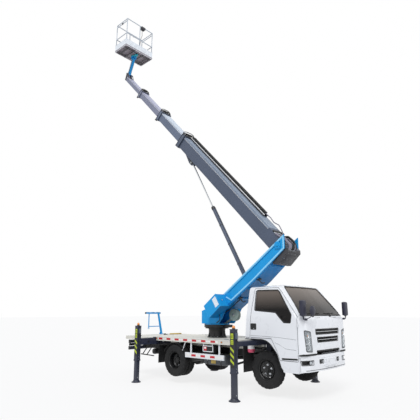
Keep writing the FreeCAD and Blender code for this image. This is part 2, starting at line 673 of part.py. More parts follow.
def build_boom_rest():
    """A slanted post on the left with a cross bar on top, and a drop bar."""
    x, half, top = D.rest_x, D.rest_half, D.rest_top
    base = D.rear_deck_top
    bar_bottom = top - 2 * half
    bar_reach, post_foot, post_head, thin = 290, 345, 205, 12
    drop_y, low_bar = -150, 1322
    post = DOCUMENT.addObject("PartDesign::Body", "rest_post")
    outline = [(post_foot, base), (post_foot + 60, base), (post_head + 45, bar_bottom + 2),
               (post_head, bar_bottom + 2)]
    sketch = outline_sketch(post, "rest_post_outline", "YZ_Plane", outline, x - half)
    pad = post.newObject("PartDesign::Pad", "rest_post_pad")
    pad.Profile = sketch
    bind(pad, "Length", 2 * half)
    pieces = [
        post,
        block("rest_bar", (x - half, x + half), (-bar_reach, bar_reach), (bar_bottom, top)),
        block("rest_drop", (x - thin, x + thin), (drop_y - thin, drop_y + thin),
              (low_bar - 32, top - half)),
        block("rest_low_bar", (x - thin, x + thin), (drop_y - thin, bar_reach + 10),
              (low_bar - thin, low_bar + thin)),
        block("rest_foot", (x - 50, x + 50), (post_foot - 20, post_foot + 80),
              (base, base + 10))]
    subpart("boom_rest", fuse("rest_fused", pieces))


# ---------------------------------------------------------------- slewing arm

def build_slewing():
    bottom = D.deck_top
    outer = fuse("pedestal_solid", [
        cylinder("pedestal_tube", D.pedestal_radius, D.slew_x, 0, (bottom, D.lower_ring_bottom)),
        cylinder("pedestal_foot", D.pedestal_radius + D.pedestal_flange, D.slew_x, 0,
                 (bottom, bottom + 16)),
        cylinder("lower_ring", D.lower_ring_radius, D.slew_x, 0,
                 (D.lower_ring_bottom, D.lower_ring_top))])
    hole = cylinder("pedestal_hole", D.pedestal_radius - D.pedestal_wall, D.slew_x, 0,
                    (bottom - 1, D.lower_ring_top + 1))
    subpart("slew_pedestal", cut("pedestal", outer, [hole]))
    height = (D.lower_ring_top + D.swing_gap, D.ring_top)
    ring = cylinder("ring", D.ring_radius, D.slew_x, 0, height)
    motor = block("slew_motor", (D.slew_x + D.ring_radius - 70,
                                 D.slew_x + D.ring_radius + D.motor_reach), (-85, 85), height)
    subpart("slew_ring", fuse("slew_ring_fused", [ring, motor]))


FLOOR_FOOT, FLOOR_BEND, FLOOR_HEAD = (1240, 1826), (2200, 2498), (3060, 3199)


def arm_outline():
    """The raised arm seen from the side, as (x, z) corners."""
    low = D.ring_top + D.base_plate - 1
    return [(D.slew_x - 250, low), (D.slew_x + D.ring_radius, low), (1100, 1580), FLOOR_FOOT,
            FLOOR_BEND, FLOOR_HEAD, (FLOOR_HEAD[0], 3534), (1180, 2205), (760, 1905),
            (D.slew_x - 250, D.rear_cover_top)]


def floor_z(x):
    """Height of the arm's underside between its foot and its bend."""
    (x0, z0), (x1, z1) = FLOOR_FOOT, FLOOR_BEND
    return z0 + (x - x0) * ((z1 - z0) / (x1 - x0))


def build_tower():
    half = D.arm_half_width
    inner = half - D.arm_plate
    plate = prism("arm_plate_left", arm_outline(), (inner, half))
    recess = prism("arm_recess_left",
                   [(1330, 2235), (2960, 3405), (2965, 3205), (2190, 2590), (1500, 2100)],
                   (half - D.arm_recess, half + 1))
    left = cut("arm_side_left", plate, [recess])
    # the floor stops short of the boom's swinging tail
    end = (2620, 2840)
    floor = prism("arm_floor", [FLOOR_FOOT, FLOOR_BEND, end, (end[0] - 10, end[1] + 12),
                                (2190, 2512), (FLOOR_FOOT[0] - 9, FLOOR_FOOT[1] + 12)],
                  (-inner - 1, inner + 1))
    back = D.slew_x - 250
    rear = prism("arm_rear", [(back, 1453), (back, D.rear_cover_top), (760, 1905), (1180, 2080),
                              (1186, 2068), (769, 1893), (back + 12, 1771), (back + 12, 1453)],
                 (-inner - 1, inner + 1))
    base_top = D.ring_top + D.base_plate
    base = cylinder("arm_base", D.ring_radius, D.slew_x, 0, (D.ring_top, base_top))
    cover, cover_top = D.ring_radius - 2, D.rear_cover_top - 60
    shell = cut("rear_cover", cylinder("cover_outer", cover, D.slew_x, 0,
                                       (base_top - 1, cover_top)),
                [cylinder("cover_inner", cover - D.cover_wall, D.slew_x, 0,
                          (base_top - 2, cover_top - D.cover_wall)),
                 block("cover_front", (D.slew_x + 60, D.slew_x + 600), (-600, 600),
                       (base_top - 50, cover_top + 50))])
    ears = [prism(f"foot_ear_{word}",
                  [(x_rear, floor_z(x_rear) + 6), (x_front, floor_z(x_front) + 6),
                   (x_front, D.foot_pin_z + 40), (D.foot_pin_x - 60, D.foot_pin_z + 60)],
                  ends)
            for x_rear, x_front in ((D.foot_pin_x - 110, D.foot_pin_x + 60),)
            for word, ends in (("left", (D.foot_half_width + D.open_gap,
                                         D.foot_half_width + D.foot_ear)),
                               ("right", (-D.foot_half_width - D.foot_ear,
                                          -D.foot_half_width - D.open_gap)))]
    pin = cylinder("boom_pin", D.pivot_radius, D.pivot_x, (-half - D.pin_head, half + D.pin_head),
                   D.pivot_z)
    subpart("tower_arm", fuse("tower_fused", [left, mirrored("arm_side_right", left), floor, rear,
                                              base, shell, pin] + ears))
    station = prism("station", [(787, 1899), (1181, 2196), (1345, 1895), (971, 1600)],
                    (-half - D.box_width, -half))
    subpart("turret_control_box", station)
    # the drum hangs in the arm's open foot, on a bracket that stands on the base plate
    drum_y = -20
    drum = cylinder("drum", D.drum_radius, D.drum_x,
                    (drum_y - D.drum_half_width, drum_y + D.drum_half_width), D.drum_z)
    bracket_side = [(880, base_top), (960, base_top), (D.drum_x + 30, D.drum_z - 30),
                    (D.drum_x - 10, D.drum_z + 30)]
    bracket = prism("drum_bracket", bracket_side,
                    (drum_y + D.drum_half_width - 5, drum_y + D.drum_half_width + 20))
    subpart("hose_drum", fuse("drum_fused", [drum, bracket]))


# ---------------------------------------------------------------- boom

Section = namedtuple("Section", "name half bottom top rear front")
# half width, bottom and top from the axis, rear and front ends from the pivot
SECTIONS = [
    Section("boom_base", 210, -255, 115, 60, 5213),
    Section("boom_2", 175, -175, 98, 1996, 6897),
    Section("boom_3", 145, -140, 78, 3831, 8631),
    Section("boom_4", 115, -105, 58, 5386, 10066),
]


def boom_tube(index):
    """One box section with the collar that guides the next; it runs towards -X in its own frame."""
    name, half, bottom, top, rear, front = SECTIONS[index]
    wall = D.boom_wall
    outer = block(f"{name}_outer", (-front, -rear), (-half, half), (bottom, top))
    inside = block(f"{name}_inside", (-front - 1, -rear + 1), (-half + wall, half - wall),
                   (bottom + wall, top - wall))
    pieces = [cut(f"{name}_tube", outer, [inside])]
    if index + 1 < len(SECTIONS):
        following = SECTIONS[index + 1]
        length = D.collar_length - 20 * index
        grow = D.collar_wall - 3 * index
        collar = block(f"{name}_collar", (-front - 1, -front + length), (-half - grow, half + grow),
                       (bottom - grow, top + grow))
        opening = block(f"{name}_opening", (-front - 2, -front + length + 1),
                        (-following.half - D.slide_gap, following.half + D.slide_gap),
                        (following.bottom - D.slide_gap, following.top + D.slide_gap))
        pieces.append(cut(f"{name}_collar_open", collar, [opening]))
    return pieces


def on_boom(thing):
    return place(thing, D.pivot_x, 0, D.pivot_z, (0, 1, 0), D.boom_elevation)


def boom_tail(base):
    """The hollow housing round the pivot; the base section opens into it."""
    outline = [(-100, base.bottom), (-60, -385), (250, -385), (310, -320), (310, 60),
               (250, base.top), (-100, base.top)]
    low = min(z for _, z in outline)
    wall, half = D.tail_wall, D.tail_half_width
    inside = [(-100 + wall, base.bottom + wall), (-60 + wall, low + wall), (250 - wall, low + wall),
              (310 - wall, -320 + wall), (310 - wall, 60 - wall), (250 - wall, base.top - wall),
              (-100 + wall, base.top - wall)]
    return cut("tail", prism("tail_outer", outline, (-half, half)),
               [prism("tail_inside", inside, (-half + wall, half - wall))])


def build_boom():
    inner = D.arm_half_width - D.arm_plate
    base = SECTIONS[0]
    pieces = boom_tube(0)
    pieces.append(boom_tail(base))
    pieces.append(cylinder("boss", D.boss_radius, 0, (-inner + D.boss_gap, inner - D.boss_gap), 0))
    ear = [(-D.eye_distance + 231, base.bottom + 1), (-D.eye_distance + 70, -D.eye_drop - 62),
           (-D.eye_distance - 70, -D.eye_drop - 62), (-D.eye_distance - 609, base.bottom + 1)]
    for word, ends in (("left", (D.ear_gap, D.ear_gap + D.ear_plate)),
                       ("right", (-D.ear_gap - D.ear_plate, -D.ear_gap))):
        pieces.append(prism(f"rod_ear_{word}", ear, ends))
    reach = D.ear_gap + D.ear_plate + 8
    pieces.append(cylinder("eye_pin", D.eye_pin_radius, -D.eye_distance, (-reach, reach),
                           -D.eye_drop))
    bore = cylinder("pivot_bore", D.pivot_radius + D.bore_gap, 0, (-inner - 1, inner + 1), 0)
    wall = D.boom_wall
    mouth = block("tail_mouth", (-140, -50), (-base.half + wall, base.half - wall),
                  (base.bottom + wall, base.top - wall))
    solid = cut("boom_base_open", fuse("boom_base_solid", pieces[:2]), [mouth])
    subpart("boom_base", on_boom(cut("boom_base_cut", fuse("boom_base_whole", [solid] + pieces[2:]),
                                     [bore])))

    subpart("boom_section_2", on_boom(fuse("boom_2_fused", boom_tube(1))))
    subpart("boom_section_3", on_boom(fuse("boom_3_fused", boom_tube(2))))

    last = SECTIONS[3]
    front = last.front
    tip = boom_tube(3)
    tip.append(block("tip_plate", (-front - 1, -front + 12), (-last.half, last.half),
                     (last.bottom, last.top)))
    beyond = -D.tip_distance - 45
    ears = [(-front + 160, last.top - 1), (-D.tip_distance + 40, D.tip_rise + 45),
            (beyond, D.tip_rise + 45), (beyond, D.tip_rise - 60),
            (-front - 0.5, last.bottom), (-front + 1, last.bottom)]
    gap, plate = D.jib_side / 2 + 6, 20
    for word, ends in (("left", (gap, gap + plate)), ("right", (-gap - plate, -gap))):
        tip.append(prism(f"tip_ear_{word}", ears, ends))
    pin_reach = gap + plate + 9
    tip.append(cylinder("tip_pin", D.tip_pin_radius, -D.tip_distance, (-pin_reach, pin_reach),
                        D.tip_rise))
    subpart("boom_section_4", on_boom(fuse("boom_4_fused", tip)))

    carrier = [block("carrier", (-5040, -1100), (50, 160), (base.top + 30, base.top + 125))]
    for x in range(-4900, -1000, 900):
        carrier.append(block(f"carrier_foot_{-x}", (x, x + 40), (60, 150),
                             (base.top, base.top + 31)))
    subpart("hose_carrier", on_boom(fuse("carrier_fused", carrier)))


def build_luffing_cylinder():
    """It hangs on the boom's ears; its own X axis runs from the rod's eye to the barrel's foot."""
    eye_x = D.pivot_x - D.eye_distance * cosine(D.boom_elevation) \
        - D.eye_drop * sine(D.boom_elevation)
    eye_z = D.pivot_z + D.eye_distance * sine(D.boom_elevation) \
        - D.eye_drop * cosine(D.boom_elevation)
    across, drop = D.foot_pin_x - eye_x, eye_z - D.foot_pin_z
    length = math.hypot(float(across), float(drop))
    angle = math.degrees(math.atan2(float(drop), float(across)))
    tilt = Size(angle, f"atan2({drop.formula}; {across.formula})")
    reach = Size(length, f"hypot({across.formula}; {drop.formula})")

    def on_cylinder(thing):
        return place(thing, eye_x, 0, eye_z, (0, 1, 0), tilt)

    # the barrel's foot is the pivot where this closed linkage is opened
    rod = fuse("rod_solid", [
        cylinder("eye", D.eye_radius, 0, (-D.ear_gap + 0.5, D.ear_gap - 0.5), 0),
        cylinder("rod_shaft", D.rod_radius, (D.eye_radius - 12, D.rod_end), 0, 0)])
    bore = cylinder("eye_bore", D.eye_pin_radius + D.bore_gap, 0, (-99, 99), 0)
    subpart("luffing_rod", on_cylinder(cut("rod", rod, [bore])))
    barrel = fuse("barrel_solid", [
        cylinder("barrel_tube", D.barrel_radius, (D.barrel_start, reach - 20), 0, 0),
        cylinder("gland", D.barrel_radius + 4, (D.barrel_start, D.barrel_start + 60), 0, 0),
        cylinder("foot_eye", 60, reach, (-D.foot_half_width, D.foot_half_width), 0)])
    hole = cylinder("barrel_bore", D.rod_radius + D.bore_gap,
                    (D.barrel_start - 1, reach - D.barrel_wall_end), 0, 0)
    subpart("luffing_barrel", on_cylinder(cut("barrel", barrel, [hole])))


# ---------------------------------------------------------------- basket

def build_basket():
    angle = D.boom_elevation
    pin_x = D.pivot_x - D.tip_distance * cosine(angle) + D.tip_rise * sine(angle)
    pin_z = D.pivot_z + D.tip_distance * sine(angle) + D.tip_rise * cosine(angle)
    head = D.basket_floor_z - 110
    side = D.jib_side / 2
    post = prism("jib_post", [(pin_x - 45, pin_z), (pin_x + 45, pin_z),
                              (D.rotator_x + 50, head + 1), (D.rotator_x - 50, head + 1)],
                 (-side, side))
    knuckle = cylinder("jib_boss", 48, pin_x, (-side, side), pin_z)
    plate = cylinder("jib_plate", D.rotator_radius + 25, D.rotator_x, 0, (head, head + 25))
    bore = cylinder("jib_bore", D.tip_pin_radius + D.bore_gap, pin_x, (-99, 99), pin_z)
    subpart("basket_mount", cut("jib", fuse("jib_solid", [post, knuckle, plate]), [bore]))

    x_low, x_high = D.rotator_x - D.basket_width / 2, D.rotator_x + D.basket_width / 2
    y_half = D.basket_length / 2
    floor, top = D.basket_floor_z, D.basket_floor_z + D.basket_frame
    wall = D.panel_wall
    rotator = cylinder("rotator", D.rotator_radius, D.rotator_x, 0,
                       (head + 25 + D.swing_gap, floor + 5))
    tray = cut("tray", block("tray_outer", (x_low, x_high), (-y_half, y_half), (floor, top)),
               [block("tray_bay_" + word, (x_low + 40, x_high - 40), ends, (floor - 1, top - 12))
                for word, ends in (("a", (-y_half + 40, -220)), ("b", (220, y_half - 40)))])
    kick = cut("kick", block("kick_outer", (x_low, x_high), (-y_half, y_half),
                             (top, top + D.panel_height)),
               [block("kick_inner", (x_low + wall, x_high - wall), (-y_half + wall, y_half - wall),
                      (top - 2, top + D.panel_height + 1))])
    subpart("basket_floor", fuse("basket_floor_fused", [rotator, tray]))
    subpart("basket_panels", kick)

    tube = D.tube_radius
    inset = wall + tube + 1
    xs = (x_low + inset, x_high - inset)
    ys = (-y_half + inset, Size(0, "0"), y_half - inset)
    past = 10
    rails = []
    for i, x in enumerate(xs):
        for j, y in enumerate(ys):
            rails.append(cylinder(f"post_{i}{j}", D.post_radius, x, y,
                                  (top, floor + D.basket_height)))
        for height, word in ((D.basket_height, "top"), (D.basket_mid, "mid")):
            rails.append(cylinder(f"{word}_side_{i}", tube, x, (ys[0] - past, ys[2] + past),
                                  floor + height))
    for j, y in enumerate((ys[0], ys[2])):
        for height, word in ((D.basket_height, "top"), (D.basket_second, "second"),
                             (D.basket_mid, "mid")):
            rails.append(cylinder(f"{word}_end_{j}", D.end_tube_radius, (xs[0], xs[1]), y,
                                  floor + height))
    subpart("basket_rails", fuse("rails_fused", rails))


# ---------------------------------------------------------------- cab

def outline_face(corners, inset, to_point):
    """A face inside (a, b, radius) corners, given anticlockwise, shrunk by inset all round."""
    count = len(corners)
    shifted = []
    for index in range(count):
        before = corners[index - 1]
        here = corners[index]
        after = corners[(index + 1) % count]
        first = Vector(here[0] - before[0], here[1] - before[1], 0).normalize()
        second = Vector(after[0] - here[0], after[1] - here[1], 0).normalize()
        turn = math.atan2(first.cross(second).z, first.dot(second))
        inward = (Vector(-first.y, first.x, 0) + Vector(-second.y, second.x, 0)).normalize()
        corner = Vector(here[0], here[1], 0) + inward * (inset / math.cos(turn / 2))
        radius = max(here[2] - inset if turn > 0 else here[2] + inset, 0) if here[2] else 0
        reach = radius * math.tan(abs(turn) / 2)
        bulge = inward * (1 if turn > 0 else -1) * (radius / math.cos(turn / 2) - radius)
        shifted.append((corner - first * reach, corner + bulge, corner + second * reach, radius))
    edges = []
    for index in range(count):
        start, middle, end, radius = shifted[index]
        following = shifted[(index + 1) % count][0]
        if radius > 0:
            edges.append(Part.Arc(*[to_point(v.x, v.y) for v in (start, middle, end)]).toShape())
        edges.append(Part.LineSegment(to_point(end.x, end.y),
                                      to_point(following.x, following.y)).toShape())
    return Part.Face(Part.Wire(edges))


def number_rows(rows):
    return [tuple(float(value) for value in row) for row in rows]


def side_corners():
    """The cab from the side, as (x, z, corner radius); x runs from the front axle."""
    front = D.cab_front
    return number_rows([
        (D.cab_rear, D.cab_floor, 0), (160, D.cab_floor, 380), (385, 900, 400), (476, 634, 60),
        (545, D.cab_step_bottom, 20), (912, D.cab_step_bottom, 20),
        (912, D.cab_front_bottom, 10), (front - 21, D.cab_front_bottom, 25),
        (front + 2, 1230, 700), (front - 21, 1580, 150), (D.screen_foot_x, D.screen_foot_z, 60),
        (D.screen_top_x, D.roof - 12, 110), (100, D.roof, 3000),
        (D.cab_rear + 102, D.roof - 12, 60)])


def front_corners():
    """The cab from the front, as (y, z, corner radius)."""
    side, roof_side = D.cab_half_width, D.roof_half_width
    return number_rows([
        (-side, 300, 0), (side, 300, 0), (side, D.belt + 20, 300),
        (roof_side, D.roof_edge_z, 110), (0, D.roof + 10, 2500),
        (-roof_side, D.roof_edge_z, 110), (-side, D.belt + 20, 300)])


def plan_corners():
    """The cab from above, as (x, y, corner radius)."""
    side, front = D.cab_half_width, D.cab_front
    return number_rows([
        (D.cab_rear - 900, -side, 0), (front - 163, -side, 80), (front - 57, -side + 125, 120),
        (front + 2, 0, 5000), (front - 57, side - 125, 120), (front - 163, side, 80),
        (D.cab_rear - 900, side, 0)])


# a box round the whole cab, in its own frame
REAR_OF_CAB, AHEAD_OF_CAB, BESIDE_CAB, BELOW_CAB, ABOVE_CAB = -1800, 1400, 1200, 200, 2460


def cab_views(inset):
    """The cab's side, front and plan outlines, each drawn out right through the others."""
    inset = float(inset)
    side = outline_face(side_corners(), inset, lambda a, b: Vector(a, -BESIDE_CAB, b))
    front = outline_face(front_corners(), inset, lambda a, b: Vector(REAR_OF_CAB, a, b))
    belt = float(D.belt) - 20
    lean = float(D.screen_foot_x - D.screen_top_x) / float(D.roof - 12 - D.screen_foot_z)
    rise = ABOVE_CAB - belt
    lower = outline_face(plan_corners(), inset, lambda a, b: Vector(a, b, BELOW_CAB))
    upper = outline_face(plan_corners(), inset, lambda a, b: Vector(a, b, belt))
    plan = lower.extrude(Vector(0, 0, belt - BELOW_CAB)).fuse(
        upper.extrude(Vector(-lean * rise, 0, rise)))
    return (side.extrude(Vector(0, 2 * BESIDE_CAB, 0)),
            front.extrude(Vector(AHEAD_OF_CAB - REAR_OF_CAB, 0, 0)), plan)


def cab_form(inset):
    """The cab's outside, or the same form smaller by inset all round."""
    side, front, plan = cab_views(inset)
    return side.common(front).common(plan).Solids[0]


def side_prism(points, low=-BESIDE_CAB, high=BESIDE_CAB):
    corners = [Vector(float(x), low, float(z)) for x, z in points]
    return Part.Face(Part.makePolygon(corners + [corners[0]])).extrude(Vector(0, high - low, 0))


def front_prism(points, low=500, high=AHEAD_OF_CAB):
    corners = [Vector(low, float(y), float(z)) for y, z in points]
    return Part.Face(Part.makePolygon(corners + [corners[0]])).extrude(Vector(high - low, 0, 0))


def both_sides(points):
    return [front_prism([(side * y, z) for y, z in points]) for side in (-1, 1)]


def grown(points, amount):
    """An outline moved outwards by amount."""
    corners = [Vector(float(a), float(b), 0) for a, b in points]
    face = Part.Face(Part.makePolygon(corners + [corners[0]]))
    bigger = face.makeOffset2D(float(amount), 2, False, False, False)
    return [(v.X, v.Y) for v in bigger.OuterWire.OrderedVertexes]


def box_between(x, y, z):
    low = Vector(float(x[0]), float(y[0]), float(z[0]))
    return Part.makeBox(float(x[1] - x[0]), float(y[1] - y[0]), float(z[1] - z[0]), low)


def cab_feature(name, shape):
    """A shape drawn from the front axle, put where that axle is."""
    return place(feature(name, shape), D.wheelbase)


def door_outline():
    sill = D.cab_floor + D.cab_wall
    return [(D.door_rear, sill), (D.door_rear + 45, 1800), (D.door_rear + 112, 2262), (425, 2262),
            (500, 2190), (D.door_front, 1650), (D.door_front, D.door_bottom),
            (468, D.door_bottom), (395, 960), (260, sill)]


# openings seen from the side, as (x, z), and from the front, as (y, z)
WINDOW = [(-110, 2215), (415, 2205), (462, 2165), (765, 1690), (740, 1535), (590, 1540),
          (545, 1585), (385, 1745), (-165, 1790), (-145, 2190)]
WINDSCREEN = [(-880, 1690), (880, 1690), (715, 2290), (-715, 2290)]
REAR_WINDOW = [(-520, 1720), (520, 1720), (500, 2140), (-500, 2140)]
LAMP = [(865, 970), (660, 955), (700, 1350), (895, 1385)]
# grille openings: half width, bottom and top, then the two slots' heights
GRILLES = [(505, 1300, 1397, (1310, 1357)), (455, 1142, 1233, (1150, 1195)),
           (490, 913, 968, (921,))]
GRILLE_SLOT = 30

HINGE_HEIGHTS = (900, 1480)


def round_bar(radius, y, bottom, top):
    return Part.makeCylinder(float(radius), float(top - bottom),
                             Vector(float(D.hinge_x), float(y), float(bottom)))


def hinge_pieces(side, middle):
    """One door hinge, as (what the cab holds, what the door holds)."""
    y = side * D.hinge_y
    skin = D.cab_half_width
    low, high = middle - D.hinge_length / 2, middle + D.hinge_length / 2
    leaf = box_between((D.hinge_x - 36, D.hinge_x), sorted((side * float(skin), float(y))),
                       (low, high))
    bore = round_bar(D.hinge_pin + D.bore_gap, y, low, high)
    on_door = round_bar(D.hinge_radius, y, low, high).fuse(leaf).cut(bore)
    on_cab = round_bar(D.hinge_pin, y, low - D.hinge_lug, high + D.hinge_lug)
    lug_y = sorted((side * (float(skin) - 25), float(y)))
    for bottom in (low - D.hinge_lug, high + D.seat_gap):
        top = bottom + D.hinge_lug - D.seat_gap
        on_cab = on_cab.fuse(round_bar(D.hinge_radius, y, bottom, top))
        on_cab = on_cab.fuse(box_between((D.hinge_x, D.hinge_x + 26), lug_y, (bottom, top)))
    return on_cab, on_door


def build_cab():
    wall, tunnel = D.cab_wall, D.tunnel_half_width
    engine_rear, far, bottom = 350, 1110, 400
    engine_space = box_between((engine_rear, far), (-tunnel, tunnel), (bottom, D.tunnel_top))
    engine_hump = box_between((engine_rear - wall, far), (-tunnel - wall, tunnel + wall),
                              (bottom, D.tunnel_top + wall))
    outer = cab_form(0).cut(engine_space)
    shell = outer.cut(cab_form(wall).cut(engine_hump))
    doors = side_prism(door_outline()).cut(cab_views(wall + D.door_gap)[1])
    windscreen_hole = front_prism(WINDSCREEN, 200)
    rear_hole = front_prism(REAR_WINDOW, D.cab_rear - 70, D.cab_rear + 330)
    lamps = both_sides(LAMP)
    grilles = [front_prism([(-half, low), (half, low), (half + 8, high), (-half - 8, high)])
               for half, low, high, _ in GRILLES]
    for hole in [doors, windscreen_hole, rear_hole] + lamps + grilles:
        shell = shell.cut(hole)
    for side in (-1, 1):
        for middle in HINGE_HEIGHTS:
            shell = shell.fuse(hinge_pieces(side, middle)[0])
    subpart("cab_shell", cab_feature("cab_shell_body", shell))

    lamp_shell = outer.cut(cab_form(D.lamp_depth))
    subpart("headlights", cab_feature("headlight_pair", Part.makeCompound(
        [lamp_shell.common(lamp) for lamp in lamps])))
    recess = cab_form(10).cut(cab_form(32)).cut(engine_space)
    slots = Part.makeCompound([
        box_between((600, AHEAD_OF_CAB), (-half + 25, half - 25), (z, z + GRILLE_SLOT))
        for half, _, _, heights in GRILLES for z in heights])
    subpart("grille", cab_feature("grille_body", Part.makeCompound(
        [recess.common(grille).cut(slots) for grille in grilles])))

    pane = cab_form(D.glass_inset).cut(cab_form(D.glass_inset + D.glass))
    subpart("cab_windows", cab_feature("cab_panes", Part.makeCompound(
        [pane.common(windscreen_hole), pane.common(rear_hole)])))

    door_form = side_prism(grown(door_outline(), -D.door_gap)).cut(cab_views(wall)[1])
    window_hole = side_prism(WINDOW)
    for side, word in ((1, "left"), (-1, "right")):
        half = box_between((REAR_OF_CAB, AHEAD_OF_CAB), sorted((side * 600, side * BESIDE_CAB)),
                           (BELOW_CAB, ABOVE_CAB))
        door = outer.common(door_form).common(half).cut(window_hole)
        for middle in HINGE_HEIGHTS:
            door = door.fuse(hinge_pieces(side, middle)[1])
        subpart(f"door_{word}", cab_feature(f"door_{word}_body", door))
        glass = pane.common(window_hole).common(half)
        subpart(f"door_glass_{word}", cab_feature(f"door_glass_{word}_pane", glass))


DASHBOARD = [(720, 1300), (1100, 1300), (1100, 1640), (740, 1600)]


def build_cab_inside():
    """Two seats, the dashboard and the steering wheel, drawn from the front axle."""
    seats = []
    floor = D.cab_floor + D.cab_wall
    for side in (-1, 1):
        y = side * 430
        cushion = prism(f"cushion_{side + 1}", [(-240, floor), (220, floor), (260, 1420),
                                                (-200, 1400)], (y - 240, y + 240))
        back = prism(f"back_{side + 1}", [(-280, 1370), (-150, 1370), (-190, 2020),
                                          (-290, 2020)], (y - 230, y + 230))
        seats.append(place(fuse(f"seat_{side + 1}", [cushion, back]), D.wheelbase))
    subpart("seats", group("seat_pair", seats))
    shelf = side_prism(DASHBOARD, -900, 900)
    dashboard = cab_feature("dashboard_body", shelf.common(cab_form(D.cab_wall + D.bore_gap)))
    tilt, wheel_x, wheel_z, wheel_y, wheel_radius = -38, 543, 1702, 430, 205
    column = DOCUMENT.addObject("Part::Cylinder", "column")
    column.Radius = 22
    column.Height = 330
    place(column, 740, wheel_y, 1450, (0, 1, 0), tilt)
    wheel = DOCUMENT.addObject("Part::Torus", "steering_ring")
    wheel.Radius1 = wheel_radius
    wheel.Radius2 = 14
    place(wheel, wheel_x, wheel_y, wheel_z, (0, 1, 0), tilt)
    spoke = DOCUMENT.addObject("Part::Box", "spoke")
    spoke.Length, spoke.Width, spoke.Height = 2 * wheel_radius, 30, 12
    place(spoke, wheel_x + wheel_radius * -math.cos(math.radians(tilt)), wheel_y - 15,
          wheel_z - 6 + wheel_radius * math.sin(math.radians(tilt)), (0, 1, 0), tilt)
    whole = fuse("steering_solid", [column, wheel, spoke])
    steering = place(cut("steering", whole, [prism("steering_clear", DASHBOARD, (-800, 800))]),
                     D.wheelbase)
    subpart("dashboard", group("dashboard_and_wheel", [dashboard, steering]))


# holes in the bumper, as (y, z) from its middle: a lamp's and a towing eye's
BUMPER_HOLES = [[(650, 712), (925, 712), (940, 787), (635, 787)],
                [(285, 725), (425, 725), (425, 787), (285, 787)]]


def build_bumper():
    low, high = float(D.bumper_bottom), float(D.bumper_top)
    side, front = D.cab_half_width, D.cab_front
    corners = number_rows([
        (front - 525, -side, 0), (front - 195, -side, 90), (front - 63, -side + 170, 150),
        (front + 17, 0, 4000), (front - 63, side - 170, 150), (front - 195, side, 90),
        (front - 525, side, 0)])
    solid, hollow = [outline_face(corners, inset, lambda a, b: Vector(a, b, low)).extrude(
        Vector(0, 0, high - low)) for inset in (0, float(D.bumper_wall))]
    behind = box_between((REAR_OF_CAB, front - 166), (-BESIDE_CAB, BESIDE_CAB),
                         (low - 10, high + 10))
    solid = solid.cut(hollow).cut(behind)
    for hole in BUMPER_HOLES:
        for opening in both_sides(hole):
            solid = solid.cut(opening)
    for sign in (-1, 1):
        y = sign * 355
        solid = solid.fuse(box_between((D.rail_overhang, front - 45), (y - 30, y + 30), (745, 845)))
    plate_x = float(front) - 40
    solid = solid.fuse(box_between((plate_x, plate_x + 60), (-230, 230), (660, 800)))
    for y in (-190, 190):
        for z in (680, 780):
            solid = solid.cut(Part.makeCylinder(4, 200, Vector(plate_x - 65, y, z),
                                                Vector(1, 0, 0)))
    subpart("front_bumper", cab_feature("bumper_body", solid.removeSplitter()))


def build_mirrors():
    """A mirror on a short arm ahead of each door's post, and a round one on the right."""
    cab = feature("cab_for_mirrors", cab_form(0))
    solids = []
    for side, word in ((-1, "right"), (1, "left")):
        def across(low, high):
            return (low, high) if side > 0 else (-high, -low)
        pieces = [
            cylinder(f"mirror_arm_{word}", 14, (880, 1055), side * 920, 1600),
            cylinder(f"mirror_post_{word}", 12, 1042, side * 925, (1600, 1700)),
            block(f"mirror_head_{word}", (1000, 1085), across(870, 1050), (1660, 1985))]
        if side < 0:
            pieces += [cylinder("round_mirror_arm", 8, (1080, 1190), -885, 1790),
                       cylinder("round_mirror", 78, (1175, 1205), -850, 1790)]
        whole = cut(f"mirror_{word}", fuse(f"mirror_{word}_solid", pieces), [cab])
        solids.append(place(whole, D.wheelbase))
    subpart("mirrors", group("mirror_pair", solids))


def main():
    build_frame()
    build_front_axle()
    build_rear_axle()
    build_springs()
    build_driveline()
    build_deck()
    build_outrigger_boxes()
    build_side_guards()
    build_rear_underrun()
    build_mudguards()
    build_tanks()
    build_boom_rest()
    build_outriggers()
    for side, word in ((1, "left"), (-1, "right")):
        build_knuckle(side, word)
        build_front_wheel(side, word)
        build_rear_wheel(side, word)
    build_slewing()
    build_tower()
    build_boom()
    build_luffing_cylinder()
    build_basket()
    build_cab()
    build_cab_inside()
    build_bumper()
    build_mirrors()
    DOCUMENT.recompute()

    for thing in DOCUMENT.Objects:
        if "Invalid" in thing.State or "Error" in thing.State:
            raise RuntimeError(f"{thing.Name} failed: {thing.State}")
    for thing in SUBPARTS:
        if thing.Shape.isNull() or not thing.Shape.isValid() or not thing.Shape.Solids:
            raise RuntimeError(f"{thing.Label} has no valid solid")
    os.makedirs("parts", exist_ok=True)
    for thing in SUBPARTS:
        thing.Shape.exportStep(f"parts/{thing.Label}.step")
        print(thing.Label, len(thing.Shape.Solids), round(thing.Shape.Volume / 1e9, 5))


main()
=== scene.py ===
"""The looks of a cherry picker truck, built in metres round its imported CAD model."""

import math

import bmesh
import bpy
from mathutils import Matrix, Vector
from mathutils.bvhtree import BVHTree


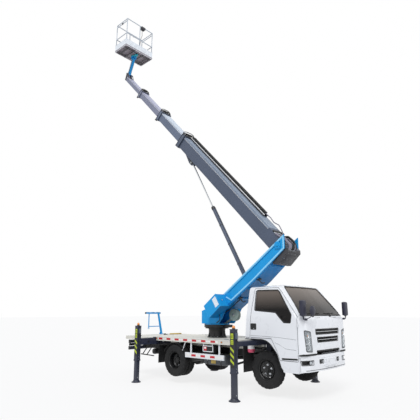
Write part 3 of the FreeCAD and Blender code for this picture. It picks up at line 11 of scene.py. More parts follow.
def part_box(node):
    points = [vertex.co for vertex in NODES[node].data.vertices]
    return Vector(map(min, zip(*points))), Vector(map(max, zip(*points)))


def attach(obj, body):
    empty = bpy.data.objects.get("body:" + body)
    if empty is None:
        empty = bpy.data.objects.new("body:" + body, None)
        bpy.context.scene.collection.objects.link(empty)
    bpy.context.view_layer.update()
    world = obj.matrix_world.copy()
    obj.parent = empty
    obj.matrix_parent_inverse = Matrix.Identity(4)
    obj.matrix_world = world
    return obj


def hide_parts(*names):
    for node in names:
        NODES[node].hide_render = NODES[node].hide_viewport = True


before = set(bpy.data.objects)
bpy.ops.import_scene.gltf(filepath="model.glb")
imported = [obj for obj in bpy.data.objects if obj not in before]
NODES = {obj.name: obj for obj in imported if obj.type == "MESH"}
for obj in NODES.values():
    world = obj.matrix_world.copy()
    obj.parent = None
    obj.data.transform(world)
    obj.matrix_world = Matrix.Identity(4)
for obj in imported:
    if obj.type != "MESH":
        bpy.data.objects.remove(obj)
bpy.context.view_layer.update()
SIDES = ((1, "left"), (-1, "right"))
BOTH = (1, -1)
M = {}


def rgb(code):
    """A #rrggbb colour as linear red, green, blue and alpha."""
    channels = [int(code[i:i + 2], 16) / 255 for i in (1, 3, 5)]
    return tuple(c / 12.92 if c <= 0.04045 else ((c + 0.055) / 1.055) ** 2.4
                 for c in channels) + (1.0,)


def scaled(colour, factor):
    return tuple(min(c * factor, 1.0) for c in colour[:3]) + (1.0,)


def add_object(name, data):
    thing = bpy.data.objects.new(name, data)
    bpy.context.scene.collection.objects.link(thing)
    return thing


def evaluated(thing):
    return thing.evaluated_get(bpy.context.evaluated_depsgraph_get())


# ---------------------------------------------------------------- materials

class Nodes:
    """Short ways to add shader nodes to a material or to the world."""

    def __init__(self, owner):
        owner.use_nodes = True
        self.owner, self.tree = owner, owner.node_tree
        self.shader = self.tree.nodes.get("Principled BSDF")
        self.place = self.add("TexCoord").outputs["Object"]

    def fill(self, node, inputs):
        """Give each input its value, or link it to another node's output."""
        for key, value in dict(inputs).items():
            if isinstance(value, bpy.types.NodeSocket):
                self.tree.links.new(value, node.inputs[key])
            else:
                node.inputs[key].default_value = value

    def add(self, kind, inputs=(), **settings):
        node = self.tree.nodes.new("ShaderNode" + kind)
        for name, value in settings.items():
            setattr(node, name, value)
        self.fill(node, inputs)
        return node

    def math(self, operation, first, second):
        return self.add("Math", {0: first, 1: second}, operation=operation).outputs[0]

    def noise(self, scale, detail, stretch=(1, 1, 1)):
        spread = self.add("Mapping", {"Vector": self.place, "Scale": stretch}).outputs[0]
        return self.add("TexNoise", {"Vector": spread, "Scale": scale,
                                     "Detail": detail}).outputs["Fac"]

    def span(self, value, low=0.3, high=0.7, out_low=0.0, out_high=1.0):
        """A value's range from low to high, carried onto another range."""
        names = ("Value", "From Min", "From Max", "To Min", "To Max")
        ramp = self.add("MapRange", zip(names, (value, low, high, out_low, out_high)))
        return ramp.outputs["Result"]

    def mix(self, factor, first, second):
        node = self.add("Mix", data_type="RGBA")
        a, b = (next(i for i, s in enumerate(node.inputs) if (s.name, s.type) == (name, "RGBA"))
                for name in "AB")
        self.fill(node, {0: factor, a: first, b: second})
        return next(s for s in node.outputs if s.type == "RGBA")

    def upward(self, vector):
        return self.add("SeparateXYZ", {0: vector}).outputs["Z"]

    def bump(self, value, strength, distance):
        bump = self.add("Bump", {"Height": value, "Strength": strength, "Distance": distance})
        self.fill(self.shader, {"Normal": bump.outputs[0]})

    def seen(self):
        """1 for what the camera sees, by itself or in a mirror or through glass."""
        rays = self.add("LightPath").outputs
        mirrored = self.math("MAXIMUM", rays["Is Camera Ray"], rays["Is Glossy Ray"])
        return self.math("MAXIMUM", mirrored, rays["Is Transmission Ray"])


def start_material(name, code):
    """The nodes of a new material that the table of materials knows by its name."""
    nodes = Nodes(bpy.data.materials.new(name))
    M[name] = nodes.owner
    return nodes, nodes.shader, rgb(code)


def finish(name, code, rough, varied=0.08, bump=0.25, metallic=0.0, coat=0.0, patch=1.6,
           bump_scale=220.0, dust=None, stretch=(1, 1, 1), under=None, shine=0.5):
    """A procedural finish: mottled colour, uneven gloss, fine texture, low down, road dust, and,
    given under, a darker colour on faces that point down as painted shade.
    """
    nodes, shader, colour = start_material(name, code)
    base = nodes.mix(nodes.span(nodes.noise(patch, 5.0, stretch)),
                     scaled(colour, 1 - varied), scaled(colour, 1 + varied))
    if dust:
        dust_code, amount, dust_top = dust
        low_down = nodes.span(nodes.upward(nodes.place), 0.1, dust_top, amount, 0.0)
        streaks = nodes.span(nodes.noise(7.0, 6.0, (1, 1, 0.4)), 0.35, 0.7, 0.2, 1.0)
        base = nodes.mix(nodes.math("MULTIPLY", low_down, streaks), base, rgb(dust_code))
    # painted shade: faces that point down take the darker under colour
    if under:
        normal = nodes.add("NewGeometry").outputs["Normal"]
        base = nodes.mix(nodes.span(nodes.upward(normal), -0.75, -0.1, 1.0, 0.0), base,
                         rgb(under))
    gloss = nodes.span(nodes.noise(patch * 6, 4.0, stretch), out_low=max(rough - 0.07, 0.03),
                       out_high=min(rough + 0.07, 1.0))
    nodes.bump(nodes.noise(bump_scale, 2.0, stretch), bump, 0.0006)
    nodes.fill(shader, {"Base Color": base, "Roughness": gloss, "Specular IOR Level": shine,
                        "Metallic": metallic, "Coat Weight": coat, "Coat Roughness": 0.08})


def glass(name, code, alpha, rough=0.03, top=None):
    """A tinted pane: glossy, let through in part, and paler towards its top as a painted
    reflection.
    """
    nodes, shader, colour = start_material(name, code)
    base = nodes.mix(nodes.span(nodes.noise(1.2, 2.0)), scaled(colour, 0.9), scaled(colour, 1.1))
    # painted reflection: the pane turns to the top colour towards its upper part
    if top:
        base = nodes.mix(nodes.span(nodes.upward(nodes.place), 1.80, 2.36), base, rgb(top))
    smears = nodes.span(nodes.noise(14.0, 4.0), out_low=rough, out_high=rough + 0.03)
    nodes.fill(shader, {"Base Color": base, "Roughness": smears, "Alpha": alpha, "IOR": 1.5,
                        "Specular IOR Level": 0.22})


def woven(name, code, threads=420.0):
    """Cloth with a plain weave, from two crossed waves."""
    nodes, shader, colour = start_material(name, code)
    waves = [nodes.add("TexWave", {"Vector": nodes.place, "Scale": threads, "Distortion": 0.4},
                       bands_direction=direction).outputs["Fac"] for direction in "YZ"]
    weave = nodes.math("MULTIPLY", *waves)
    nodes.bump(weave, 0.5, 0.0008)
    nodes.fill(shader, {"Base Color": nodes.mix(weave, scaled(colour, 0.7), scaled(colour, 1.3)),
                        "Roughness": 0.85, "Sheen Weight": 0.3})


def chequer_plate(name, code, grime_code):
    """Painted tread plate: raised bars that cross in a lattice."""
    nodes, shader, colour = start_material(name, code)
    bars = []
    for turn in (45, -45):
        lattice = nodes.add("Mapping", {"Vector": nodes.place, "Scale": (22, 60, 1),
                                        "Rotation": (0, 0, math.radians(turn))})
        cells = nodes.add("TexVoronoi", {"Vector": lattice.outputs[0], "Scale": 1.0,
                                         "Randomness": 0.0})
        bars.append(nodes.span(cells.outputs["Distance"], 0.2, 0.4, 1.0, 0.0))
    nodes.bump(nodes.math("MAXIMUM", *bars), 0.5, 0.0015)
    grime = nodes.span(nodes.noise(2.0, 6.0), 0.35, 0.75, 0.0, 0.35)
    nodes.fill(shader, {"Base Color": nodes.mix(grime, colour, rgb(grime_code)),
                        "Roughness": 0.5})


def make_materials():
    # name, colour, roughness, how far the colour varies and the depth of the texture
    for row in (("cream", "#e4e2da", 0.45, 0.05, 0.15), ("teal", "#2a9fb0", 0.4, 0.08, 0.06),
                ("charcoal", "#36363a", 0.5, 0.12, 0.15), ("hose_pale", "#7f7b87", 0.5, 0.1, 0.2),
                # the three pale band colours are painted highlight along the boom sections' upper
                # edges
                ("slate_band_painted_highlight", "#8693a4", 0.5, 0.06, 0.0), ("top_bright", "#c3cdd9", 0.5, 0.04, 0.0),
                ("top_pale", "#a9abc0", 0.5, 0.04, 0.0), ("casing", "#1d1f33", 0.45, 0.1, 0.2),
                ("seam", "#54585c", 0.6, 0.08, 0.1), ("black", "#0f1012", 0.4, 0.15, 0.15),
                ("rim", "#0b0c0e", 0.42, 0.15, 0.1), ("grey", "#b9c1ca", 0.45, 0.06, 0.12),
                ("pale", "#e6ebf0", 0.42, 0.04, 0.1), ("drum", "#8b9a93", 0.5, 0.12, 0.2),
                ("label", "#e4ebf2", 0.4, 0.03, 0.05), ("pink", "#cf4c6b", 0.4, 0.1),
                ("bottle", "#e9e8e6", 0.45, 0.04), ("seal", "#0b0c0d", 0.6, 0.1, 0.2)):
        finish(*row)
    # the arm's blue, with a lighter copy of it as painted highlight and a darker copy as painted
    # shade, each darker on faces that point down as painted shade
    for name, code, rough, varied in (("blue", "#1f9bdc", 0.42, 0.05),
                                      ("blue_light", "#8fd3f6", 0.42, 0.05),
                                      ("blue_low", "#1570b2", 0.45, 0.06)):
        finish(name, code, rough, varied, 0.06, coat=0.05 if name == "blue" else 0.0, patch=1.2,
               under="#0077b8", shine=0.2)
    # the boom's slate paints, each darker on faces that point down as painted shade
    for name, code, varied, bump, under in (("slate", "#4a5467", 0.07, 0.1, "#2f3644"),
                                            ("slate_mid", "#606b80", 0.06, 0.08, "#3a4250"),
                                            ("slate_pale", "#7b7f93", 0.05, 0.08, "#4f5364")):
        finish(name, code, 0.46, varied, bump, under=under)
    for name, code, rough, varied, bump in (("red", "#c21f2b", 0.35, 0.08, 0.4),
                                            ("tape_white", "#eceae6", 0.35, 0.03, 0.4),
                                            ("lime", "#b4c52b", 0.5, 0.06, 0.3)):
        finish(name, code, rough, varied, bump, bump_scale=700)
    road_dust = ("#4a4744", 0.22, 0.8)
    finish("chassis", "#101114", 0.6, 0.2, 0.2, dust=road_dust)
    finish("rubber", "#0c0d0f", 0.85, 0.2, 0.3, bump_scale=120, dust=road_dust)
    finish("leg", "#272c3e", 0.42, 0.1, 0.15, dust=("#5a5856", 0.2, 0.6))
    finish("white", "#e6e8eb", 0.3, 0.012, 0.03, coat=0.5, patch=0.6,
           dust=("#a39d92", 0.14, 0.85))
    finish("plastic", "#131416", 0.62, 0.12, 0.5, bump_scale=500)
    finish("hose", "#0e0f11", 0.55, 0.15, 0.3, bump_scale=260)
    finish("steel", "#b9bcc0", 0.32, 0.08, 0.1, metallic=1.0)
    finish("galvanised", "#9ea3a6", 0.48, 0.15, metallic=0.85, patch=14.0)
    finish("chrome", "#d9dcdf", 0.1, 0.02, 0.02, metallic=1.0)
    finish("mirror", "#cfd6da", 0.05, 0.02, 0.0, metallic=1.0)
    # aluminium darkened to a dark grey as painted shade, for tanks that sit in shade
    finish("aluminium", "#505356", 0.45, 0.06, metallic=0.7, stretch=(1, 12, 12))
    finish("stud", "#c4c7ca", 0.35, 0.1, 0.1, metallic=0.3)
    finish("gold", "#bda254", 0.4, 0.1, metallic=0.4)
    finish("amber", "#e58a2e", 0.25, coat=0.5)
    finish("tray", "#857c82", 0.5, 0.12, 0.1, patch=3.0)
    # the cab's glass, paler brown-grey towards its top as painted reflection
    glass("glass", "#0e0c0c", 0.93, 0.04, "#857a71")
    glass("lens", "#dfe6ea", 0.16)
    glass("lamp", "#dfe6ea", 0.35)
    woven("cloth", "#33363b")
    chequer_plate("deck_plate", "#dedcd2", "#9c9788")


# ---------------------------------------------------------------- camera, light and floor

def looking(heading):
    return Vector(heading).to_track_quat("-Z", "Y").to_euler()


def make_camera():
    camera = add_object("camera", bpy.data.cameras.new("camera"))
    camera.location = (8.31, -8.61, 1.74)
    swing, rise = math.radians(42.58), math.radians(13.87)
    camera.rotation_euler = looking((-math.sin(swing) * math.cos(rise),
                                     math.cos(swing) * math.cos(rise), math.sin(rise)))
    camera.data.lens, camera.data.sensor_width, camera.data.clip_end = 35.55, 36, 400
    bpy.context.scene.camera = camera


def make_light():
    scene = bpy.context.scene
    scene.view_settings.view_transform = "Standard"
    scene.world = bpy.data.worlds.new("studio")
    nodes = Nodes(scene.world)
    nodes.tree.nodes.clear()
    soft, white = (nodes.add("Background", {"Color": colour, "Strength": strength}).outputs[0]
                   for colour, strength in ((rgb("#f2f6ff"), 0.55), ((1, 1, 1, 1), 1.0)))
    sky = nodes.add("MixShader", {0: nodes.seen(), 1: soft, 2: white})
    nodes.add("OutputWorld", {"Surface": sky.outputs[0]})
    for name, strength, spread, heading in (("key", 1.75, 25, (-0.45, 0.75, -1.1)),
                                            ("fill", 0.5, 60, (-1.0, -0.35, -0.35))):
        sun = bpy.data.lights.new(name, "SUN")
        sun.energy, sun.angle = strength, math.radians(spread)
        add_object(name, sun).rotation_euler = looking(heading)


def make_floor():
    far = 150
    mesh = bpy.data.meshes.new("floor")
    mesh.from_pydata([(-far, -far, 0), (far, -far, 0), (far, far, 0), (-far, far, 0)], [],
                     [(0, 1, 2, 3)])
    nodes = Nodes(bpy.data.materials.new("floor"))
    nodes.fill(nodes.shader, {"Base Color": rgb("#e6e6e6"), "Roughness": 0.9})
    glow = nodes.add("MixShader", {0: nodes.math("MULTIPLY", nodes.seen(), 0.8),
                                   1: nodes.shader.outputs[0],
                                   2: nodes.add("Emission").outputs[0]})
    nodes.fill(nodes.tree.nodes["Material Output"], {"Surface": glow.outputs[0]})
    mesh.materials.append(nodes.owner)
    add_object("floor", mesh)


# ---------------------------------------------------------------- building meshes

def mm(*numbers):
    """Flat points given as one run of millimetres, in metres."""
    return [(a / 1000, b / 1000) for a, b in zip(numbers[::2], numbers[1::2])]


def rectangle(a0, a1, b0, b1):
    """A rectangle's corners; as a lathe's profile, a flat ring."""
    return mm(a0, b0, a1, b0, a1, b1, a0, b1)


def route(*numbers):
    """Points in space given as one run of millimetres, in metres."""
    return [Vector(numbers[i:i + 3]) / 1000 for i in range(0, len(numbers), 3)]


def towards(start, end):
    """The matrix that carries the +Z axis from the origin onto start, pointing at end."""
    turn = (end - start).to_track_quat("Z", "Y").to_matrix().to_4x4()
    return Matrix.Translation(start) @ turn


def aim(place, heading=(0, 0, 1)):
    """The matrix that carries the +Z axis from the origin onto a place, along a heading."""
    return towards(Vector(place), Vector(place) + Vector(heading))


def around(count, radius, first=0.0):
    """(angle, across, up) of points that are evenly spaced on a circle."""
    for k in range(count):
        angle = 2 * math.pi * k / count + first
        yield angle, radius * math.cos(angle), radius * math.sin(angle)


def rounded_path(points, radius, steps=5):
    """A route with each of its corners turned into an arc of about that radius."""
    points = [Vector(p) for p in points]
    path = [points[0]]
    for before, here, after in zip(points, points[1:], points[2:]):
        back, on = (before - here), (after - here)
        turn = back.angle(on)
        reach = min(radius / max(math.tan(turn / 2), 1e-3), back.length * 0.48, on.length * 0.48)
        start, end = here + back.normalized() * reach, here + on.normalized() * reach
        for index in range(steps + 1):
            t = index / steps
            path.append(start.lerp(here, t).lerp(here.lerp(end, t), t))
    path.append(points[-1])
    return path


class Shape:
    """A mesh put together from parts, in metres, in the frame that matrix gives."""

    def __init__(self, matrix=None):
        self.bm = bmesh.new()
        self.matrix = matrix or Matrix.Identity(4)
        self.material = 0

    def take(self, part, matrix=None):
        if matrix is not None:
            bmesh.ops.transform(part, matrix=matrix, verts=part.verts)
        for face in part.faces:
            face.material_index = self.material
        mesh = bpy.data.meshes.new("part")
        part.to_mesh(mesh)
        part.free()
        self.bm.from_mesh(mesh)
        bpy.data.meshes.remove(mesh)
        return self

    def use(self, index):
        self.material = index
        return self

    def box(self, corner, other, edge=0.003, segments=2, turn=None):
        """A block with rounded edges, turned about its middle by degrees round Y."""
        low, high = (Vector(map(pick, corner, other)) for pick in (min, max))
        size = high - low
        part = bmesh.new()
        bmesh.ops.create_cube(part, size=1)
        bmesh.ops.scale(part, vec=size, verts=part.verts)
        edge = min(edge, min(size) * 0.45)
        if edge > 0:
            bmesh.ops.bevel(part, geom=part.edges[:], offset=edge, segments=segments,
                            affect="EDGES", profile=0.5)
        matrix = Matrix.Translation((low + high) / 2)
        if turn:
            matrix = matrix @ Matrix.Rotation(math.radians(turn), 4, "Y")
        return self.take(part, matrix)

    def block(self, middle, half, edge=0.003, segments=2, turn=None):
        """A block about its middle, with its half sizes."""
        middle, half = Vector(middle), Vector(half)
        return self.box(middle - half, middle + half, edge, segments, turn)

    def lathe(self, profile, matrix, sides=32, closed=False, wave=None):
        """(radius, height) points turned about +Z; wave(side, index) may change a radius."""
        part = bmesh.new()
        rings = []
        for index, (radius, height) in enumerate(profile):
            if radius <= 1e-6:
                rings.append([part.verts.new((0, 0, height))])
                continue
            ring = []
            for side in range(sides):
                angle = 2 * math.pi * side / sides
                r = radius + (wave(side, index) if wave else 0)
                ring.append(part.verts.new((r * math.cos(angle), r * math.sin(angle), height)))
            rings.append(ring)
        for lower, upper in zip(rings, rings[1:] + (rings[:1] if closed else [])):
            for side in range(sides):
                on = (side + 1) % sides
                corners = list(dict.fromkeys((
                    lower[side % len(lower)], lower[on % len(lower)],
                    upper[on % len(upper)], upper[side % len(upper)])))
                if len(corners) > 2:
                    part.faces.new(corners)
        if not closed:
            for ring in (rings[0][::-1], rings[-1]):
                if len(ring) > 2:
                    part.faces.new(ring)
        return self.take(part, matrix)

    def rod(self, start, end, radius, sides=20, edge=None):
        """A round bar with chamfered ends."""
        start, end = Vector(start), Vector(end)
        length = (end - start).length
        edge = min(radius * 0.25, length * 0.3, 0.004) if edge is None else edge
        profile = [(radius - edge, 0), (radius, edge), (radius, length - edge),
                   (radius - edge, length)]
        return self.lathe(profile, towards(start, end), sides)

    def pipe(self, points, radius, bend=0.04, sides=10, steps=5):
        """A round tube along a route with rounded corners."""
        path = rounded_path(points, bend, steps)
        part = bmesh.new()
        rings, normal = [], None
        for index, here in enumerate(path):
            ahead = path[min(index + 1, len(path) - 1)] - path[max(index - 1, 0)]
            ahead.normalize()
            if normal is None:
                normal = ahead.orthogonal().normalized()
            normal = (normal - ahead * normal.dot(ahead)).normalized()
            cross = ahead.cross(normal)
            rings.append([part.verts.new(here + radius * (
                math.cos(2 * math.pi * k / sides) * normal
                + math.sin(2 * math.pi * k / sides) * cross)) for k in range(sides)])
        for lower, upper in zip(rings, rings[1:]):
            for k in range(sides):
                on = (k + 1) % sides
                part.faces.new((lower[k], lower[on], upper[on], upper[k]))
        part.faces.new(rings[0][::-1])
        part.faces.new(rings[-1])
        return self.take(part)

    def prism(self, outline, depth, axis="Y", edge=0.0):
        """A flat outline given depth along one axis, its rims slightly rounded."""
        part = bmesh.new()
        first, second = ([part.verts.new({"X": (level, a, b), "Y": (a, level, b),
                                          "Z": (a, b, level)}[axis]) for a, b in outline]
                         for level in sorted(depth))
        rims = [part.faces.new(first), part.faces.new(second[::-1])]
        for i in range(len(outline)):
            j = (i + 1) % len(outline)
            part.faces.new((first[j], first[i], second[i], second[j]))
        if edge > 0:
            edges = {e for face in rims for e in face.edges}
            bmesh.ops.bevel(part, geom=list(edges), offset=edge, segments=1, affect="EDGES")
        return self.take(part)

    def bolt(self, place, direction=(0, 0, 1), size=0.018, height=0.011):
        """A hexagon head on a washer."""
        direction = Vector(direction).normalized()
        matrix = aim(place, direction)
        self.lathe([(size * 0.95, 0), (size * 0.95, height * 0.2)], matrix, 16)
        head = Matrix.Translation(direction * height * 0.2) @ matrix
        return self.lathe([(size * 0.72, 0), (size * 0.72, height * 0.75),
                           (size * 0.6, height)], head, 6)

    def piece(self, name, body, materials, slot, smooth=32, stands_for=()):
        """Make the object with its materials and let it ride on its body; slot is not used."""
        bmesh.ops.transform(self.bm, matrix=self.matrix, verts=self.bm.verts)
        bmesh.ops.recalc_face_normals(self.bm, faces=self.bm.faces)
        mesh = bpy.data.meshes.new(name)
        self.bm.to_mesh(mesh)
        self.bm.free()
        for material in materials.split():
            mesh.materials.append(M[material])
        mesh.polygons.foreach_set("use_smooth", [True] * len(mesh.polygons))
        mesh.set_sharp_from_angle(angle=math.radians(smooth))
        thing = add_object(name, mesh)
        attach(thing, body)
        if stands_for:
            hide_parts(*stands_for)
        return thing


def dress(node, material, edge):
    """A CAD node whose shape is right keeps it, with a finish and softened edges."""
    thing = NODES[node]
    thing.data.materials.clear()
    thing.data.materials.append(M[material])
    thing.modifiers.new("weld", "WELD").merge_threshold = 0.00005
    if edge > 0:
        bevel = thing.modifiers.new("edges", "BEVEL")
        bevel.width, bevel.segments, bevel.limit_method = edge, 2, "ANGLE"
        bevel.angle_limit = math.radians(30)
        bevel.harden_normals = False


BOTH_SIDES = ("_left", "_right")
LEG_CORNERS = ("_rear_left", "_rear_right", "_front_left", "_front_right")
# finish, softened edge, and the CAD nodes that take them
CAD_FINISH = (
    ("chassis", 0.004, "chassis_frame front_axle"), ("chassis", 0.0, "rear_axle propshaft"),
    ("chassis", 0.002, "leaf_springs"), ("chassis", 0.01, "engine_block"),
    ("deck_plate", 0.003, "deck"), ("leg", 0.004, "outrigger_boxes"),
    ("leg", 0.006, "rear_underrun"),
    ("white", 0.004, "side_guards"), ("white", 0.0, "cab_shell"), ("white", 0.006, "front_bumper"),
    ("plastic", 0.0, "mudguards"), ("plastic", 0.012, "battery_box"),
    ("plastic", 0.004, "hose_carrier"), ("plastic", 0.002, "grille"),
    ("plastic", 0.008, "dashboard"), ("plastic", 0.01, "mirrors"), ("aluminium", 0.03, "tanks"),
    ("blue", 0.004, "boom_rest basket_mount"), ("blue", 0.003, "tower_arm"),
    ("blue", 0.006, "turret_control_box"), ("black", 0.003, "slew_pedestal slew_ring"),
    ("drum", 0.004, "hose_drum"), ("slate", 0.004, "boom_base"), ("slate", 0.0, "luffing_barrel"),
    ("slate_mid", 0.004, "boom_section_2"), ("slate_pale", 0.004, "boom_section_3"),
    ("slate_pale", 0.003, "boom_section_4"), ("chrome", 0.0, "luffing_rod"),
    ("tray", 0.004, "basket_floor"), ("pale", 0.0, "basket_panels"),
    ("grey", 0.0, "basket_rails"), ("glass", 0.0, "cab_windows"), ("lamp", 0.0, "headlights"),
    ("cloth", 0.03, "seats"))
SIDED_FINISH = (
    (BOTH_SIDES, (("white", 0.0, "door"), ("glass", 0.0, "door_glass"),
                  ("chassis", 0.002, "steering_knuckle"),
                  ("rubber", 0.0, "tyre_front tyres_rear"), ("rim", 0.0, "rim_front rim_rear"))),
    (LEG_CORNERS, (("leg", 0.004, "outrigger_beam"), ("leg", 0.003, "outrigger_leg"))))


def dress_nodes():
    for endings, rows in ((("",), CAD_FINISH), *SIDED_FINISH):
        for material, edge, names in rows:
            for node in names.split():
                for ending in endings:
                    dress(node + ending, material, edge)


# ---------------------------------------------------------------- the truck's measures

AXLE_Z, FRONT_AXLE_X = 0.541, 2.8
DECK_Y, DECK_TOP, TAIL_TOP = 0.930, 1.100, 1.081
SLEW_X, ARM_Y = 0.653, 0.327
BOOM_PIN, FOOT_EYE = Vector((2.870, 0, 3.300)), Vector((1.757, 0, 2.420))
ROD_EYE, TIP_PIN = Vector((-0.34083, 0, 6.25754)), Vector((-3.9387, 0, 10.8555))
RISER_TOP = Vector((-3.690, 0, 11.470))
BOOM = Matrix.Translation(BOOM_PIN) @ Matrix.Rotation(math.radians(47.3), 4, "Y")


# ---------------------------------------------------------------- wheels

TYRE_HALF = 0.095
FRONT_Y, TWIN_Y, TWIN_HALF = 0.740, 0.733, 0.109
# (radius, distance in from the sidewall) from the bead to the shoulder, then (radius, height)
TYRE_SIDE = mm(212, 22, 220, 12, 232, 6, 238, 2, 246, 3, 252, 5.5, 282, 1, 302, 0, 318, .5,
               322, 3, 332, 3, 336, 1, 350, 4, 364, 10, 374.5, 18, 381.5, 26, 386.5, 37)
TREAD = mm(386.5, 40, 377.5, 38, 377.5, 32, 387, 30, 387, 9, 377.5, 7.5)
SHOULDER, RIB = range(13, 18), (20, 21)
TREAD_SIDES = 168


def add_tyre(shape, middle, outward, offset):
    """One ribbed tyre whose shoulders are cut into lugs."""
    half = [(r, TYRE_HALF - depth) for r, depth in TYRE_SIDE] + TREAD
    count = len(half)

    def wave(side, index):
        row = index if index < count else 2 * count - 1 - index
        shift = 0 if index < count else 3
        if row in SHOULDER and (side + shift) % 7 < 2:
            return -0.009
        return -0.005 if row in RIB and (side + shift) % 7 == 4 else 0
    matrix = aim(middle + outward * offset, outward)
    shape.lathe(half + [(r, -h) for r, h in reversed(half)], matrix, TREAD_SIDES, closed=True,
                wave=wave)
    # a raised ring of moulded blocks on each sidewall
    for face in (-1, 1):
        for angle, _, _ in around(24, 1):
            block = Shape().block((0.349, 0, face * (TYRE_HALF - 0.007)), (0.009, 0.012, 0.003),
                                  0.001, 1)
            shape.take(block.bm, matrix @ Matrix.Rotation(angle, 4, "Z"))


def stud_ring(shape, matrix, radius, height, count, size):
    direction = matrix.to_3x3() @ Vector((0, 0, 1))
    for _, a, b in around(count, radius, math.pi / 2):
        foot = matrix @ Vector((a, b, height))
        shape.bolt(foot, direction, size, size * 0.8)
        shape.rod(foot, foot + direction * size * 1.35, size * 0.36, 12)


def cut_holes(shape, matrix, radius, height, count, size):
    """Round hand holes through a wheel's disc."""
    tools = Shape()
    for _, a, b in around(count, radius, math.pi / count):
        tools.rod(matrix @ Vector((a, b, height - 0.06)), matrix @ Vector((a, b, height + 0.06)),
                  size, 20, 0.0005)
    things = []
    for bm in (shape.bm, tools.bm):
        bmesh.ops.recalc_face_normals(bm, faces=bm.faces)
        mesh = bpy.data.meshes.new("cut")
        bm.to_mesh(mesh)
        bm.free()
        things.append(add_object("cut", mesh))
    cutter = things[0].modifiers.new("cut", "BOOLEAN")
    cutter.object, cutter.solver = things[1], "EXACT"
    shape.bm = bmesh.new()
    shape.bm.from_mesh(evaluated(things[0]).to_mesh())
    evaluated(things[0]).to_mesh_clear()
    for thing in things:
        mesh = thing.data
        bpy.data.objects.remove(thing)
        bpy.data.meshes.remove(mesh)


def front_rim(side, word):
    middle, outward = Vector((FRONT_AXLE_X, side * FRONT_Y, AXLE_Z)), Vector((0, side, 0))
    matrix = aim(middle, outward)
    rim = Shape()
    rim.lathe(mm(62, 30, 118, 26, 132, 34, 160, 56, 172, 52, 184, 34, 190, 34, 191, 52, 199, 64,
                 208.5, 70, 211.4, 78, 211.4, 74, 206, 60, 197, 30, 194, -50, 207.4, -66,
                 211.4, -78, 203, -74, 188, -50, 184, 16, 172, 36, 160, 42, 136, 20, 118, 14,
                 62, 16), matrix, 72, closed=True)
    cut_holes(rim, matrix, 0.152, 0.045, 8, 0.0165)
    rim.lathe(mm(22.5, -55, 85, -50, 85, 14, 74, 20, 68, 52, 56, 58, 52, 88, 40, 96, 0, 98),
              matrix, 40)
    stud_ring(rim.use(1), matrix, 0.098, 0.027, 5, 0.024)
    stud_ring(rim.use(0), matrix, 0.043, 0.0885, 6, 0.007)
    rim.piece(f"front_wheel_{word}", f"wheel_front_{word}", "rim stud", "rim_black",
              stands_for=[f"rim_front_{word}"])
    tyre = Shape()
    add_tyre(tyre, middle, outward, 0)
    tyre.piece(f"front_tyre_{word}", f"wheel_front_{word}", "rubber", "tyre_rubber", 28,
               [f"tyre_front_{word}"])


def rear_rims(side, word):
    middle, outward = Vector((0, side * TWIN_Y, AXLE_Z)), Vector((0, side, 0))
    matrix = aim(middle, outward)
    rims = Shape()
    outer = mm(104, 14, 150, 12, 164, 18, 178, 36, 184, 44, 186, 140, 196, 160, 198, 172,
               207, 178, 211.4, 187, 211.4, 182, 203, 168, 200, 150, 196, 60, 206, 44, 211.4, 32,
               204, 30, 192, 40, 180, 26, 166, 6, 150, 1, 104, 1)
    rims.lathe(outer, matrix, 72, closed=True)
    cut_holes(rims, matrix, 0.142, 0.010, 8, 0.017)
    rims.lathe([(r, -h) for r, h in outer], matrix, 72, closed=True)
    rims.lathe(mm(40.5, -50, 108, -46, 108, 10, 94, 18, 88, 70, 82, 92, 72, 99, 60, 101, 57, 112,
                  50, 116, 0, 117), matrix, 48)
    stud_ring(rims, matrix, 0.072, 0.100, 8, 0.009)
    stud_ring(rims.use(1), matrix, 0.124, 0.014, 6, 0.021)
    # a valve stem on the outer rim
    rims.pipe([matrix @ p for p in route(188, 0, 100, 176, 0, 110, 168, 0, 155)], 0.004, 0.01, 8)
    rims.piece(f"rear_wheels_{word}", f"wheels_rear_{word}", "rim stud", "rim_black",
               stands_for=[f"rim_rear_{word}"])
    tyres = Shape()
    for offset in (-TWIN_HALF, TWIN_HALF):
        add_tyre(tyres, middle, outward, offset)
    tyres.piece(f"rear_tyres_{word}", f"wheels_rear_{word}", "rubber", "tyre_rubber", 28,
                [f"tyres_rear_{word}"])


